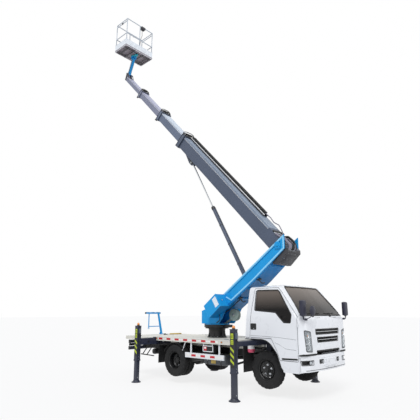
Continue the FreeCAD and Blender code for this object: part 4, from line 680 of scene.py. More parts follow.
def make_running_gear():
    """Brake drums, the springs' clamps, dampers, and covers on the axles and hubs."""
    gear = Shape()
    for side in BOTH:
        gear.lathe(mm(55, 0, 150, 0, 160, 8, 160, 50, 166, 55, 166, 64, 60, 64),
                   aim((0, side * 0.56, AXLE_Z), (0, side, 0)), 48)
        y = side * 0.355
        for x, seat in ((FRONT_AXLE_X, 0.576), (0.0, 0.589)):
            for clamp in (x - 0.055, x + 0.055):
                for edge in (y - 0.036, y + 0.036):
                    gear.rod((clamp, edge, seat - 0.085), (clamp, edge, seat + 0.075), 0.007, 10)
                    gear.bolt((clamp, edge, seat - 0.088), (0, 0, -1), 0.013, 0.012)
                gear.rod((clamp, y - 0.043, seat + 0.072), (clamp, y + 0.043, seat + 0.072),
                         0.007, 10)
            gear.block((x, y, seat + 0.056), (0.075, 0.045, 0.006))
            # a damper leaning from the axle to the frame
            foot = Vector((x + 0.10, side * 0.300, seat - 0.03))
            head = Vector((x + 0.26, side * 0.312, 0.80))
            gear.rod(foot, foot.lerp(head, 0.55), 0.028, 20)
            gear.rod(foot.lerp(head, 0.5), head, 0.018, 16)
    gear.rod((-0.10, -0.02, 0.620), (-0.10, 0.02, 0.620), 0.03, 16)
    gear.lathe(mm(50, 0, 115, 4, 150, 22, 158, 45), aim((-0.178, 0, AXLE_Z), (1, 0, 0)), 40)
    gear.piece("running_gear", "chassis", "chassis", "chassis_black")
    joints = Shape()
    for x, z in ((0.27, 0.5525), (2.06, 0.686)):
        joints.rod((x, -0.062, z), (x, 0.062, z), 0.022, 16)
        joints.block((x, 0, z), (0.04, 0.055, 0.045), 0.012)
    joints.piece("propshaft_joints", "chassis", "galvanised", "chassis_black")
    for side, word in SIDES:
        hub = Shape()
        hub.lathe(mm(30, -10, 146, -8, 150, 0, 150, 12, 30, 12),
                  aim((FRONT_AXLE_X, side * 0.672, AXLE_Z), (0, side, 0)), 48)
        hub.block((FRONT_AXLE_X - 0.0925, side * 0.650, 0.5175), (0.0725, 0.012, 0.0175), 0.006)
        hub.piece(f"brake_plate_{word}", f"knuckle_{word}", "chassis", "chassis_black")


def make_wheels():
    for side, word in SIDES:
        front_rim(side, word)
        rear_rims(side, word)
    make_running_gear()


# ---------------------------------------------------------------- deck and chassis

# the rails' start, end, bottom and top: the deck, and its lower tail
RAILS = ((-0.730, 1.897, 1.010, DECK_TOP), (-2.087, -0.870, 0.995, TAIL_TOP))


def tape_run(shape, y, side, xs, z, tall, start, end):
    """Red blocks along a white retroreflective tape, raised off a flat side."""
    skin = side * 0.0012
    shape.use(0).box((start, y, z - tall / 2), (end, y + skin, z + tall / 2), 0.0003, 1)
    for x in xs:
        shape.use(1).box((x - 0.075, y, z - tall / 2 - 0.001),
                         (x + 0.075, y + 2 * skin, z + tall / 2 + 0.001), 0.0004, 1)


def make_deck():
    tapes = Shape()
    for side in BOTH:
        y = side * (DECK_Y + 0.0004)
        tape_run(tapes, y, side, [-0.549 + 0.3155 * k for k in range(7)], 1.060, 0.045, -0.70,
                 1.50)
        tape_run(tapes, y, side, (0.70, 1.015, 1.33), 0.710, 0.048, 0.42, 1.66)
    for y in (-0.62, -0.31, 0.0, 0.31, 0.62):
        tapes.block((-2.0918, y, 1.042), (0.0014, 0.075, 0.020), 0.0004, 1)
    tapes.use(0).box((-2.0918, -0.78, 1.023), (-2.0902, 0.78, 1.061), 0.0003, 1)
    tapes.piece("edge_tapes", "chassis", "tape_white red", "deck_white")

    fittings = Shape()
    for side in BOTH:
        y = side * DECK_Y
        # rolled lips along the edge rails, top and bottom
        for start, end, low, high in RAILS:
            for bottom, top in ((high - 0.010, high + 0.0025), (low - 0.003, low + 0.007)):
                fittings.use(0).box((start, y - side * 0.030, bottom),
                                    (end, y + side * 0.004, top))
        # tie-down loops below the rail
        for x in (-0.45, 0.20, 0.85, 1.52):
            fittings.use(1).pipe([(x + a, y - side * 0.012, z) for a, z in
                                  mm(-30, 1008, -30, 985, 30, 985, 30, 1008)], 0.005, 0.012, 8)
        # the side marker lamps
        for x in (-0.70, 1.62):
            fittings.use(2).box((x - 0.024, y, 1.040), (x + 0.024, y + side * 0.010, 1.078), 0.004)
            fittings.use(3).box((x - 0.017, y, 1.046), (x + 0.017, y + side * 0.014, 1.072), 0.005)
    fittings.piece("deck_edge_fittings", "chassis", "cream galvanised plastic amber", "deck_white")

    # on the deck: a measuring stick in its clips, a drain cap and hatch screws
    stick = Shape()
    foot, tip = route(-1620, 120, 1100, -1520, 920, 1100)
    for material, (start, end) in enumerate(((0, 0.10), (0.10, 0.26), (0.26, 0.82))):
        stick.use(material).rod(foot.lerp(tip, start), foot.lerp(tip, end), 0.019, 14)
    for share in (0.12, 0.74):
        stick.use(0).block(foot.lerp(tip, share) - Vector((0, 0, 0.008)), (0.028, 0.012, 0.012))
    stick.piece("deck_stick", "chassis", "plastic bottle gold", "trim_black")
    studs = Shape()
    for xs, top in (((-0.69, 0.10, 1.20, 1.87), DECK_TOP), ((-2.05, -0.90), TAIL_TOP)):
        for x in xs:
            for y in (-0.86, -0.35, 0.35, 0.86):
                studs.bolt((x, y, top), size=0.012, height=0.006)
    for _, x, y in around(16, 0.243):
        studs.bolt((SLEW_X + x, y, 1.116), size=0.014, height=0.012)
    for x, y in ((-0.30, 0.62), (1.45, -0.55)):
        studs.lathe(mm(60, 0, 60, 6, 50, 10, 0, 10), aim((x, y, DECK_TOP)), 32)
    studs.piece("deck_screws", "chassis", "galvanised", "deck_white")


def make_guard_fittings():
    """The square frame and struts of the side guard, and the battery's cover."""
    white = Shape()
    for x0, x1, z0, z1 in ((0.985, 1.320, 0.815, 0.833), (0.985, 1.320, 0.943, 0.961),
                           (0.985, 1.003, 0.815, 0.961), (1.302, 1.320, 0.815, 0.961)):
        white.box((x0, -0.902, z0), (x1, -0.886, z1))
    for y in (-0.905, 0.905):
        white.pipe([(x, y, z) for x, z in mm(238, 763, 300, 835, 385, 1012)], 0.011, 0.05)
    for x in (1.010, 1.295):
        white.block((x, -0.892, 0.985), (0.012, 0.008, 0.027), 0.002)
    white.piece("guard_struts", "chassis", "white", "deck_white")

    box = Shape()
    box.box((1.004, -0.892, 0.834), (1.301, -0.886, 0.942), 0.002)
    box.use(1).box((1.012, -0.8945, 0.842), (1.105, -0.8915, 0.934), 0.002)
    box.use(2).box((1.028, -0.8965, 0.884), (1.092, -0.8935, 0.924), 0.001)
    for z in (0.85, 0.885, 0.92):
        box.use(0).box((1.14, -0.896, z - 0.006), (1.285, -0.891, z + 0.006), 0.002)
    box.piece("battery_cover", "chassis", "plastic red tape_white", "chassis_black")


def make_tanks_and_battery():
    tank = Shape()
    # the tanks take the aluminium darkened as painted shade
    tank.box((0.930, -0.820, 0.520), (1.640, -0.440, 0.760), 0.045, 6)
    for x in (1.07, 1.50):
        tank.use(1).box((x - 0.02, -0.824, 0.516), (x + 0.02, -0.436, 0.764), 0.046, 6)
        tank.use(2).rod((x, -0.826, 0.60), (x, -0.826, 0.66), 0.005, 8)
        tank.box((x - 0.02, -0.462, 0.700), (x + 0.02, -0.386, 0.800))
    tank.use(3).lathe(mm(46, 0, 46, 20, 40, 26, 0, 27),
                      aim((1.25, -0.815, 0.70), (0, -1.185, 0.22)), 28)
    tank.use(4).box((1.19, -0.8235, 0.555), (1.34, -0.8195, 0.635), 0.001)
    tank.use(0).box((0.930, 0.440, 0.560), (1.640, 0.860, 0.950), 0.018, 4)
    tank.box((1.2, 0.385, 0.80), (1.3, 0.45, 0.86))
    tank.use(3).lathe(mm(42, 0, 42, 18, 34, 30, 0, 32), aim((1.10, 0.70, 0.949)), 28)
    tank.use(2).rod((1.50, 0.861, 0.64), (1.50, 0.861, 0.88), 0.008, 10)
    for x, z in ((0.96, 0.59), (0.96, 0.92), (1.61, 0.59), (1.61, 0.92)):
        tank.bolt((x, 0.860, z), (0, 1, 0), 0.010)
    tank.piece("fuel_and_oil_tanks", "chassis", "aluminium chassis galvanised plastic gold",
               "tank_silver", stands_for=["tanks"])

    battery = Shape()
    battery.box((0.960, -0.882, 0.778), (1.330, -0.600, 0.945), 0.008)
    battery.box((0.950, -0.885, 0.938), (1.340, -0.595, 0.960), 0.006)
    battery.box((1.10, -0.62, 0.83), (1.16, -0.385, 0.86))
    battery.piece("battery_case", "chassis", "plastic", "chassis_black",
                  stands_for=["battery_box"])


def make_hanging_gear():
    """A folding step, air reservoirs and the exhaust."""
    hanging = Shape()
    for x in (-1.30, -1.11):
        hanging.pipe([(x + a, -0.80, z) for a, z in mm(160, 995, 20, 775, -140, 610)], 0.014, 0.05)
    hanging.pipe(route(-1520, -800, 600, -1100, -800, 590, -960, -800, 585), 0.014, 0.05)
    hanging.box((-1.20, -0.83, 0.965), (-0.90, -0.77, 0.996))
    # round reservoirs across the frame
    for a, b, radius in ((*route(-990, -800, 700, -990, -400, 700), 0.075),
                         (*route(500, -420, 620, 500, -780, 620), 0.085),
                         (*route(520, 420, 620, 520, 800, 620), 0.085)):
        length = (b - a).length
        end = [(0.0, 0.0), (radius * 0.6, 0.004), (radius * 0.92, 0.018), (radius, 0.045)]
        hanging.lathe(end + [(r, length - h) for r, h in reversed(end)], towards(a, b), 32)
        for share in (0.25, 0.75):
            here = a.lerp(b, share)
            strap = Vector((radius + 0.004, 0.012, 0))
            hanging.box(here - strap, here + strap + Vector((0, 0, 0.755 - here.z)), 0.004)
    # the exhaust: a silencer under the frame and its pipe
    hanging.rod((1.95, -0.20, 0.60), (2.42, -0.20, 0.60), 0.075, 32, 0.015)
    hanging.pipe(route(1980, -200, 600, 1800, -200, 600, 1720, -380, 560, 1720, -620, 530),
                 0.026, 0.06)
    hanging.box((2.15, -0.215, 0.66), (2.19, -0.185, 0.757))
    hanging.piece("hanging_gear", "chassis", "chassis", "chassis_black")


def make_tail_lamps():
    tail = Shape()
    for side in BOTH:
        start = min(side * 0.58, side * 0.88)
        tail.use(0).box((-1.998, start, 0.800), (-1.984, start + 0.30, 0.872), 0.006)
        width = 0.284 / 3
        for k, material in enumerate((1, 2, 3) if side > 0 else (3, 2, 1)):
            y = start + 0.006 + k * (width + 0.002)
            tail.use(material).box((-2.012, y, 0.808), (-1.996, y + width, 0.864), 0.006, 3)
        tail.use(0).pipe([(-1.985, side * 0.73, 0.84), (-1.93, side * 0.73, 0.85),
                          (-1.90, side * 0.42, 0.84)], 0.006, 0.03, 8)
    tail.use(4).box((-1.992, -0.225, 0.812), (-1.985, 0.225, 0.868), 0.002)
    for y in (-0.20, 0.20):
        tail.use(0).bolt((-1.992, y, 0.84), (-1, 0, 0), 0.008)
    for z in (0.745, 0.926):
        for y in (-0.8995, 0.8995):
            tail.block((-1.945, y, z), (0.045, 0.004, 0.048), 0.004)
    tail.piece("tail_lamps", "chassis", "plastic red amber tape_white cream", "trim_black")


def make_lines_and_guards():
    lines = Shape()
    for side in (-1, 1):
        for step in (0, 1, 2):
            y = side * (0.316 - 0.014 * step)
            lines.pipe([(x, y, z) for x, z in (
                (-1.6, 0.80), (-0.4, 0.80 + 0.004 * step), (1.2, 0.802), (2.0, 0.86),
                (2.9, 0.84))], 0.0055, 0.08, 8)
    for x in (-0.62, -0.30, 0.30):
        lines.pipe([(x, 0.10, 0.90), (x + 0.02, 0.05, 1.05), (0.55, 0.02, 1.06), (0.62, 0, 1.09)],
                   0.010, 0.08, 8)
    lines.piece("brake_and_oil_lines", "chassis", "hose", "hose_black")

    # the flaps' stiffening ribs and the guards' rolled edges
    stiff = Shape()
    for side in BOTH:
        for y in (0.62, 0.75, 0.88):
            stiff.block((-0.623, side * y, 0.665), (0.0035, 0.006, 0.195), 0.002)
        for y in (0.566, 0.928):
            angles = [math.radians(26 + 128 * k / 12) for k in range(13)]
            stiff.pipe([(0.4375 * math.cos(angle), side * y, AXLE_Z + 0.4375 * math.sin(angle))
                        for angle in angles], 0.006, 0.02, 8, 2)
    stiff.piece("mudguard_edges", "chassis", "plastic", "trim_black")


# ---------------------------------------------------------------- outriggers

LEG_TUBE = 0.0575
LEGS = {"rear_left": (-0.800, 1.500), "rear_right": (-0.800, -1.500),
        "front_left": (2.574, 1.638), "front_right": (2.574, -1.638)}
# the bottoms and tops of the blank scale's fields, and of the bars on them
SCALE_FIELDS = mm(1205, 1315, 1095, 1185)
SCALE_BARS = mm(1228, 1238, 1252, 1262, 1276, 1286, 1118, 1128, 1146, 1156)


def add_stripes(shape, x, face_y, side, low, high, half_width):
    """Slanted lime bars on a dark field, clipped to the field's edges."""
    pitch, tall, lean = 0.118, 0.052, 0.078
    bottom = low - lean
    while bottom < high:
        ends = [(x - half_width, bottom + (lean if side < 0 else 0)),
                (x + half_width, bottom + (0 if side < 0 else lean))]
        outline = [(a, min(max(b, low), high))
                   for a, b in ends + [(a, b + tall) for a, b in reversed(ends)]]
        heights = [b for _, b in outline]
        if max(heights) - min(heights) > 0.02 and heights[0] < heights[3] - 0.004 \
                and heights[1] < heights[2] - 0.004:
            shape.prism(outline, (face_y, face_y + side * 0.0022))
        bottom += pitch


def add_foot(word, x, y):
    foot = Shape()
    for angle, a, b in around(8, 0.096, math.pi / 8):
        rib = Shape().prism(mm(40, 12, 108, 12, 62, 72, 40, 72), (-0.004, 0.004), "Y", 0.001)
        foot.use(0).take(rib.bm, Matrix.Translation((x, y, 0)) @ Matrix.Rotation(angle, 4, "Z"))
        foot.use(1).bolt((x + a, y + b, 0.0138), size=0.007)
    foot.rod((x - 0.056, y, 0.115), (x + 0.056, y, 0.115), 0.013, 16)
    foot.piece(f"foot_ribs_{word}", f"leg_{word}", "leg galvanised", "outrigger_slate")


def add_leg_trim(word, x, y):
    side = 1 if y > 0 else -1
    face = y + side * LEG_TUBE
    trim = Shape()

    def plate(half, near, far, low, high, edge):
        trim.box((x - half, face + side * near, low), (x + half, face + side * far, high), edge, 1)
    plate(0.0505, 0, 0.001, 0.635, 1.340, 0.0003)
    trim.use(1)
    add_stripes(trim, x, face + side * 0.0009, side, 0.650, 1.055, 0.047)
    for low, high in SCALE_FIELDS:
        plate(0.036, 0.0009, 0.0026, low, high, 0.0006)
    trim.use(0)
    for low, high in SCALE_BARS:
        plate(0.022, 0.0025, 0.0034, low, high, 0.0003)
    # the cap, lamp, valve block and pipes on top of the tube
    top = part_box(f"outrigger_beam_{word}")[1][2]
    trim.use(2).block((x, y, top + 0.003), (0.064, 0.064, 0.007), 0.005)
    trim.use(3).lathe(mm(34, 0, 36, 12, 34, 18, 0, 18), aim((x, y, top + 0.010)), 28)
    trim.use(4).lathe(mm(31, 0, 33, 10, 31, 34, 23, 50, 11, 58, 0, 60), aim((x, y, top + 0.026)),
                      28)
    valve_x = x + LEG_TUBE
    trim.use(5).block((valve_x + 0.015, y, top - 0.125), (0.017, 0.034, 0.061), 0.004)
    for low in (0.080, 0.125, 0.165):
        trim.use(6).rod((valve_x + 0.030, y, top - low), (valve_x + 0.046, y, top - low), 0.011,
                        12)
    near = y - side * 0.020
    trim.use(3).pipe([(valve_x + 0.016, near, top - 0.184), (valve_x + 0.016, near, 1.17),
                      (valve_x + 0.006, y - side * (LEG_TUBE + 0.010), 1.145),
                      (x + 0.030, y - side * (LEG_TUBE + 0.004), 1.120)], 0.0075, 0.03, 8)
    trim.pipe([(valve_x + 0.016, y + side * 0.016, top - 0.184),
               (valve_x + 0.018, y + side * 0.016, 0.70)], 0.006, 0.03, 8)
    # welded lugs where the beam meets the tube, short at the rear, where the beam draws in
    # until the tube meets the box
    beam_low, lug = (0.912, 0.012) if "rear" in word else (1.049, 0.075)
    inner = y - side * LEG_TUBE
    for sign in (-1, 1):
        trim.use(2).prism([(inner, beam_low - 0.004), (inner - side * lug, beam_low - 0.004),
                           (inner, beam_low - 0.085)],
                          (x + sign * 0.043 - 0.005, x + sign * 0.043 + 0.005), "X")
        for z in (0.560, 0.620):
            trim.use(6).bolt((x + sign * LEG_TUBE, y, z), (sign, 0, 0), 0.010)
        if "rear" in word:
            trim.use(0).lathe(mm(30, 0, 30, .6, 0, .7),
                              aim((x + sign * 0.0546, y - side * 0.32, 0.985), (sign, 0, 0)), 28)
    trim.piece(f"outrigger_trim_{word}", f"beam_{word}",
               "black lime leg hose amber slate galvanised", "outrigger_slate")


def make_outriggers():
    for word, (x, y) in LEGS.items():
        add_leg_trim(word, x, y)
        add_foot(word, x, y)
    boxes = Shape()
    gap, rim = 0.0085, 0.006
    for x, bottom, height in ((-0.800, 0.912, 0.165), (2.574, 1.049, 0.095)):
        inner, outer = 0.055 + gap, 0.055 + gap + rim
        low, high = bottom - gap, bottom + height + gap
        for side in BOTH:
            y = side * 0.925
            for x0, x1, z0, z1 in ((-outer, outer, low - rim, low),
                                   (-outer, outer, high, high + rim),
                                   (-outer, -inner, low - rim, high + rim),
                                   (inner, outer, low - rim, high + rim)):
                boxes.box((x + x0, y, z0), (x + x1, y - side * 0.035, z1), 0.002)
            for sign in (-1, 1):
                for share in (0.3, 0.7):
                    boxes.bolt((x + sign * inner, y - side * 0.10, bottom + height * share),
                               (sign, 0, 0), 0.011)
    boxes.piece("outrigger_box_lips", "chassis", "leg", "outrigger_slate")


# ---------------------------------------------------------------- lines on the cab's skin

def grown(outline, distance):
    """An outline with each of its sides moved outwards."""
    area = sum(a[0] * b[1] - b[0] * a[1] for a, b in zip(outline, outline[1:] + outline[:1]))
    sign = 1 if area > 0 else -1
    result = []
    for before, here, after in zip(outline[-1:] + outline[:-1], outline,
                                   outline[1:] + outline[:1]):
        normals = [(Vector((end[1] - start[1], start[0] - end[0])) * sign).normalized()
                   for start, end in ((before, here), (here, after))]
        middle = (normals[0] + normals[1]).normalized()
        reach = distance / max(middle.dot(normals[0]), 0.4)
        result.append((here[0] + middle.x * reach, here[1] + middle.y * reach))
    return result


def mirrored(side, points):
    return [(side * a, b) for a, b in points]


class Skin:
    """The outer faces of some CAD nodes, met by rays that come from one side."""

    VIEWS = {"left": ((0, 3, 0), (0, -1, 0)), "right": ((0, -3, 0), (0, 1, 0)),
             "front": ((6, 0, 0), (-1, 0, 0)), "rear": ((1.2, 0, 0), (1, 0, 0))}

    def __init__(self, view, *nodes):
        corners, faces = [], []
        for node in nodes:
            thing, start = NODES[node], len(corners)
            corners += [thing.matrix_world @ v.co for v in thing.data.vertices]
            faces += [[start + index for index in p.vertices] for p in thing.data.polygons]
        self.tree = BVHTree.FromPolygons(corners, faces)
        self.start, self.heading = (Vector(v) for v in self.VIEWS[view])
        self.sideways = view in ("left", "right")

    def meet(self, a, b):
        """The skin's point and normal at (x, z) from a side, or (y, z) from an end."""
        point = Vector((a, 0, b)) if self.sideways else Vector((0, a, b))
        hit, normal, _, _ = self.tree.ray_cast(point + self.start, self.heading)
        if hit is None:
            return None
        return hit, normal if normal.dot(self.heading) < 0 else -normal


def ribbon(shape, skin, points, width, height, corner=0.0, closed=False, step=0.012, sink=0.002):
    """A thin raised strip that follows a route over a skin."""
    points = [Vector((a, b, 0)) for a, b in points]
    if closed:
        middle = points[0].lerp(points[-1], 0.5)
        points = [middle] + points + [middle]
    path = rounded_path(points, corner) if corner else points
    dense = []
    for start, end in zip(path, path[1:]):
        count = max(1, math.ceil((end - start).length / step))
        dense += [start.lerp(end, k / count) for k in range(count)]
    if not closed:
        dense.append(path[-1])
    met = [skin.meet(p.x, p.y) for p in dense]
    part = bmesh.new()
    rows = []
    last = len(met) - 1
    for index, here in enumerate(met):
        rows.append(None)
        if here is None:
            continue
        before = met[index - 1 if closed or index else 0]
        after = met[0 if closed and index == last else min(index + 1, last)]
        ahead = (after or here)[0] - (before or here)[0]
        if ahead.length < 1e-6:
            continue
        place, normal = here
        side = normal.cross(ahead.normalized()).normalized() * width / 2
        rows[-1] = [part.verts.new(place + side * share + normal * rise) for share, rise in
                    ((-1, -sink), (-1, height * 0.6), (-0.7, height), (0.7, height),
                     (1, height * 0.6), (1, -sink))]
    for lower, upper in zip(rows, rows[1:] + (rows[:1] if closed else [])):
        if lower and upper and (lower[0].co - upper[0].co).length < step * 6:
            for k in range(6):
                on = (k + 1) % 6
                part.faces.new((lower[k], lower[on], upper[on], upper[k]))
    open_edges = [e for e in part.edges if e.is_boundary]
    if open_edges:
        bmesh.ops.holes_fill(part, edges=open_edges, sides=8)
    shape.take(part)


def patch(shape, skin, corners, outer, inner, columns=10, rows=12):
    """A four-cornered plate over a skin, from inner to outer above it, if it lies all on it."""
    a, b, c, d = [Vector(p) for p in corners]
    met = [[skin.meet(*a.lerp(b, i / columns).lerp(d.lerp(c, i / columns), j / rows))
            for i in range(columns + 1)] for j in range(rows + 1)]
    if None in (spot for row in met for spot in row):
        return
    part = bmesh.new()
    top, under = ([[part.verts.new(hit + normal * rise) for hit, normal in row] for row in met]
                  for rise in (outer, inner))
    for grid, order in ((top, 1), (under, -1)):
        for j in range(rows):
            for i in range(columns):
                face = [grid[j][i], grid[j][i + 1], grid[j + 1][i + 1], grid[j + 1][i]]
                part.faces.new(face[::order])
    rim = [(0, i) for i in range(columns)] + [(j, columns) for j in range(rows)] \
        + [(rows, i) for i in range(columns, 0, -1)] + [(j, 0) for j in range(rows, 0, -1)]
    for (j0, i0), (j1, i1) in zip(rim, rim[1:] + rim[:1]):
        part.faces.new((top[j0][i0], under[j0][i0], under[j1][i1], top[j1][i1]))
    shape.take(part)


# ---------------------------------------------------------------- cab

SIDE_WINDOW = mm(2690, 2215, 3215, 2205, 3262, 2165, 3565, 1690, 3540, 1535, 3390, 1540,
                 3345, 1585, 3185, 1745, 2635, 1790, 2655, 2190)
DOOR_EDGE = mm(2500, 1205, 2545, 1800, 2612, 2262, 3225, 2262, 3300, 2190, 3700, 1650,
               3700, 780, 3268, 780, 3195, 960, 3060, 1205)
SCREEN = mm(-880, 1690, 880, 1690, 715, 2290, -715, 2290)
BACK_LIGHT = mm(-520, 1720, 520, 1720, 500, 2140, -500, 2140)
HANDLE = rectangle(2532, 2672, 1378, 1500)
LAMP_CORNERS = mm(865, 970, 660, 955, 700, 1350, 895, 1385)


def find_arch(skin):
    """The wheel arch's edge, found where the skin starts above the wheel."""
    lip = []
    for degrees in range(-4, 182, 4):
        across, up = math.cos(math.radians(degrees)), math.sin(math.radians(degrees))
        for far in range(380, 760, 4):
            x, z = FRONT_AXLE_X + far / 1000 * across, AXLE_Z + far / 1000 * up
            met = skin.meet(x, z)
            if met and abs(met[0].y) > 0.80:
                lip.append((x + 0.007 * across, z + 0.007 * up))
                break
    return lip


def make_doors():
    for _, word in SIDES:
        door = Skin(word, f"door_{word}", f"door_glass_{word}")
        skin = Skin(word, f"door_{word}", "cab_shell")
        fit = Shape()
        ribbon(fit, door, grown(SIDE_WINDOW, 0.007), 0.020, 0.0035, 0.03, closed=True)
        # the handle in its sunk dish, and its lock
        patch(fit.use(1), skin, HANDLE, 0.0032, -0.002, 6, 6)
        ribbon(fit, skin, HANDLE, 0.012, 0.006, 0.02, closed=True, step=0.006)
        patch(fit, skin, rectangle(2545, 2660, 1418, 1462), 0.0085, 0.003, 6, 3)
        patch(fit.use(3), skin, rectangle(2600, 2622, 1386, 1404), 0.0070, 0.003, 2, 2)
        # the waist seal that wipes the glass
        ribbon(fit.use(0), door, mm(2650, 1796, 3180, 1753, 3340, 1594, 3392, 1548, 3545, 1542),
               0.013, 0.0055, 0.02)
        # two pressed creases, each with a dark strip just below it, painted shade
        for points in (mm(2470, 1256, 2900, 1252, 3300, 1236, 3660, 1208),
                       mm(3150, 1135, 3260, 1095, 3420, 1020, 3660, 1005)):
            ribbon(fit.use(4), door, points, 0.012, 0.0030, 0.1)
            ribbon(fit.use(5), door, [(x, z - 0.009) for x, z in points], 0.005, 0.0012, 0.1)
        ribbon(fit.use(0), door, mm(3310, 812, 3680, 822), 0.034, 0.004)
        fit.piece(f"door_trim_{word}", f"door_{word}",
                  "seal plastic black galvanised white seam", "trim_black")

        lines = Shape()
        ribbon(lines.use(1), skin, grown(DOOR_EDGE, 0.0045), 0.0065, 0.0010, 0.03, closed=True,
               step=0.010)
        ribbon(lines.use(0), skin, find_arch(skin), 0.020, 0.005, step=0.02)
        # the cab's lower edge, and the gap over the bumper's end
        ribbon(lines, skin, mm(3700, 900, 3900, 900), 0.034, 0.004)
        ribbon(lines, skin, mm(2385, 1206, 2490, 1206), 0.010, 0.002)
        lines.piece(f"cab_side_lines_{word}", "chassis", "seal seam", "trim_black")


def add_headlight(shape, skin, side):
    corners = mirrored(side, LAMP_CORNERS)
    patch(shape.use(4), skin, corners, -0.016, -0.020)
    ribbon(shape.use(0), skin, corners, 0.012, 0.003, 0.03, closed=True, step=0.01)
    for y, z, radius, lens in ((0.775, 1.045, 0.058, 2), (0.785, 1.165, 0.050, 2),
                               (0.800, 1.275, 0.044, 3)):
        place, normal = skin.meet(side * y, z)
        matrix = aim(place - normal * 0.024, (1, 0, 0))
        shape.use(1).lathe([(radius * share, h) for share, h in (
            (0.25, 0.0), (0.62, 0.004), (0.9, 0.013), (1, 0.022), (1.05, 0.022), (1.05, 0.0))],
                           matrix, 36)
        shape.use(lens).lathe([(radius * share, h) for share, h in (
            (0.36, 0.001), (0.34, 0.010), (0.2, 0.017), (0, 0.019))], matrix, 20)
    # a bright fin between the bowls
    for low in (1.108, 1.224):
        ribbon(shape.use(1), skin, [(side * 0.69, low), (side * 0.87, low + 0.012)], 0.012, -0.004,
               sink=0.016)


def make_cab_front():
    skin = Skin("front", "cab_shell", "headlights", "grille", "cab_windows")
    shell = Skin("front", "cab_shell", "headlights")
    lights, lenses = Shape(), Shape()
    for side in BOTH:
        add_headlight(lights, skin, side)
        patch(lenses, skin, mirrored(side, grown(LAMP_CORNERS, -0.003)), 0.0016, -0.0016, 12, 16)
    lights.piece("headlamp_bowls", "chassis", "seal chrome lamp amber seam", "lamp_clear")
    lenses.piece("headlamp_lenses", "chassis", "lens", "lamp_clear", stands_for=["headlights"])

    face = Shape()

    def level(where, half, z, width, height, sink=0.002):
        ribbon(face, where, [(-half, z), (half, z)], width, height, sink=sink)
    for low, high, half in ((1.300, 1.397, 0.505), (1.142, 1.233, 0.455), (0.913, 0.968, 0.490)):
        outline = [(-half, low), (half, low), (half + 0.008, high), (-half - 0.008, high)]
        ribbon(face, shell, grown(outline, 0.006), 0.013, 0.004, 0.02, closed=True)
    face.use(1)
    for z, half in ((1.3485, 0.478), (1.1875, 0.430)):
        level(skin, half, z, 0.012, 0.007, 0.006)
    for z, half in ((1.407, 0.500), (1.243, 0.450)):
        level(shell, half, z, 0.010, 0.004)
    # the line under the windscreen and the creases of the nose
    face.use(0)
    level(shell, 0.875, 1.668, 0.012, 0.0025)
    ribbon(face, skin, grown(SCREEN, 0.006), 0.026, 0.004, 0.05, closed=True)
    face.use(2)
    for side in BOTH:
        for crease in (mm(905, 1590, 560, 1476, 475, 1420), mm(530, 1290, 600, 1132, 500, 1000)):
            ribbon(face, shell, mirrored(side, crease), 0.007, 0.0022, 0.06)
    face.use(0)
    level(shell, 0.935, 0.903, 0.038, 0.005)
    # cowl slots beside the wipers
    for side in BOTH:
        for k in range(5):
            y = side * (0.30 + 0.045 * k)
            ribbon(face, shell, [(y, 1.628), (y + 0.030, 1.628)], 0.010, 0.0015)
    face.piece("front_trim", "chassis", "seal chrome white", "trim_black")

    wipers = Shape()
    for foot, tip, end in (mm(-520, 1655, -180, 1722, -660, 1716),
                           mm(200, 1655, 540, 1722, 60, 1716)):
        ribbon(wipers, skin, [end, tip], 0.012, 0.014, sink=-0.002)
        place, normal = skin.meet(*foot)
        blade, blade_normal = skin.meet((tip[0] + end[0]) / 2, 1.720)
        wipers.pipe([place, place + normal * 0.030, blade + blade_normal * 0.022], 0.0065, 0.01, 8)
        wipers.lathe(mm(18, -4, 20, 16, 12, 26, 0, 27), aim(place, normal), 20)
    wipers.piece("wipers", "chassis", "black", "trim_black")


def make_cab_ends():
    rear, shell = Skin("rear", "cab_shell", "cab_windows"), Skin("rear", "cab_shell")
    back = Shape()
    ribbon(back, rear, grown(BACK_LIGHT, 0.006), 0.024, 0.005, 0.05, closed=True)
    for z in (1.32, 1.40, 1.48, 1.56):
        ribbon(back.use(1), shell, [(-0.72, z), (0.72, z)], 0.022, 0.005)
    # an air vent on the right
    patch(back.use(2), shell, rectangle(-800, -620, 1660, 1860), 0.008, -0.002, 4, 4)
    for k in range(5):
        z = 1.69 + 0.034 * k
        ribbon(back.use(0), shell, [(-0.785, z), (-0.635, z)], 0.012, 0.012)
    back.piece("cab_back_trim", "chassis", "seal white plastic", "trim_black")

    # roof gutters, three ribs and the aerial's foot
    roof = Shape()
    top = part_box("cab_shell")[1][2]
    for side in BOTH:
        y = side * 0.765
        roof.pipe([(2.42, y, top - 0.046), (3.18, y, top - 0.046)], 0.006, sides=8)
    roof.use(1).lathe(mm(40, -10, 42, 4, 30, 18, 0, 22), aim((3.12, 0.10, top - 0.014)), 28)
    for x in (2.62, 2.84, 3.06):
        roof.use(0).block((x, 0, top - 0.0025), (0.014, 0.56, 0.0055), 0.004)
    roof.piece("roof_trim", "chassis", "white plastic", "cab_white")


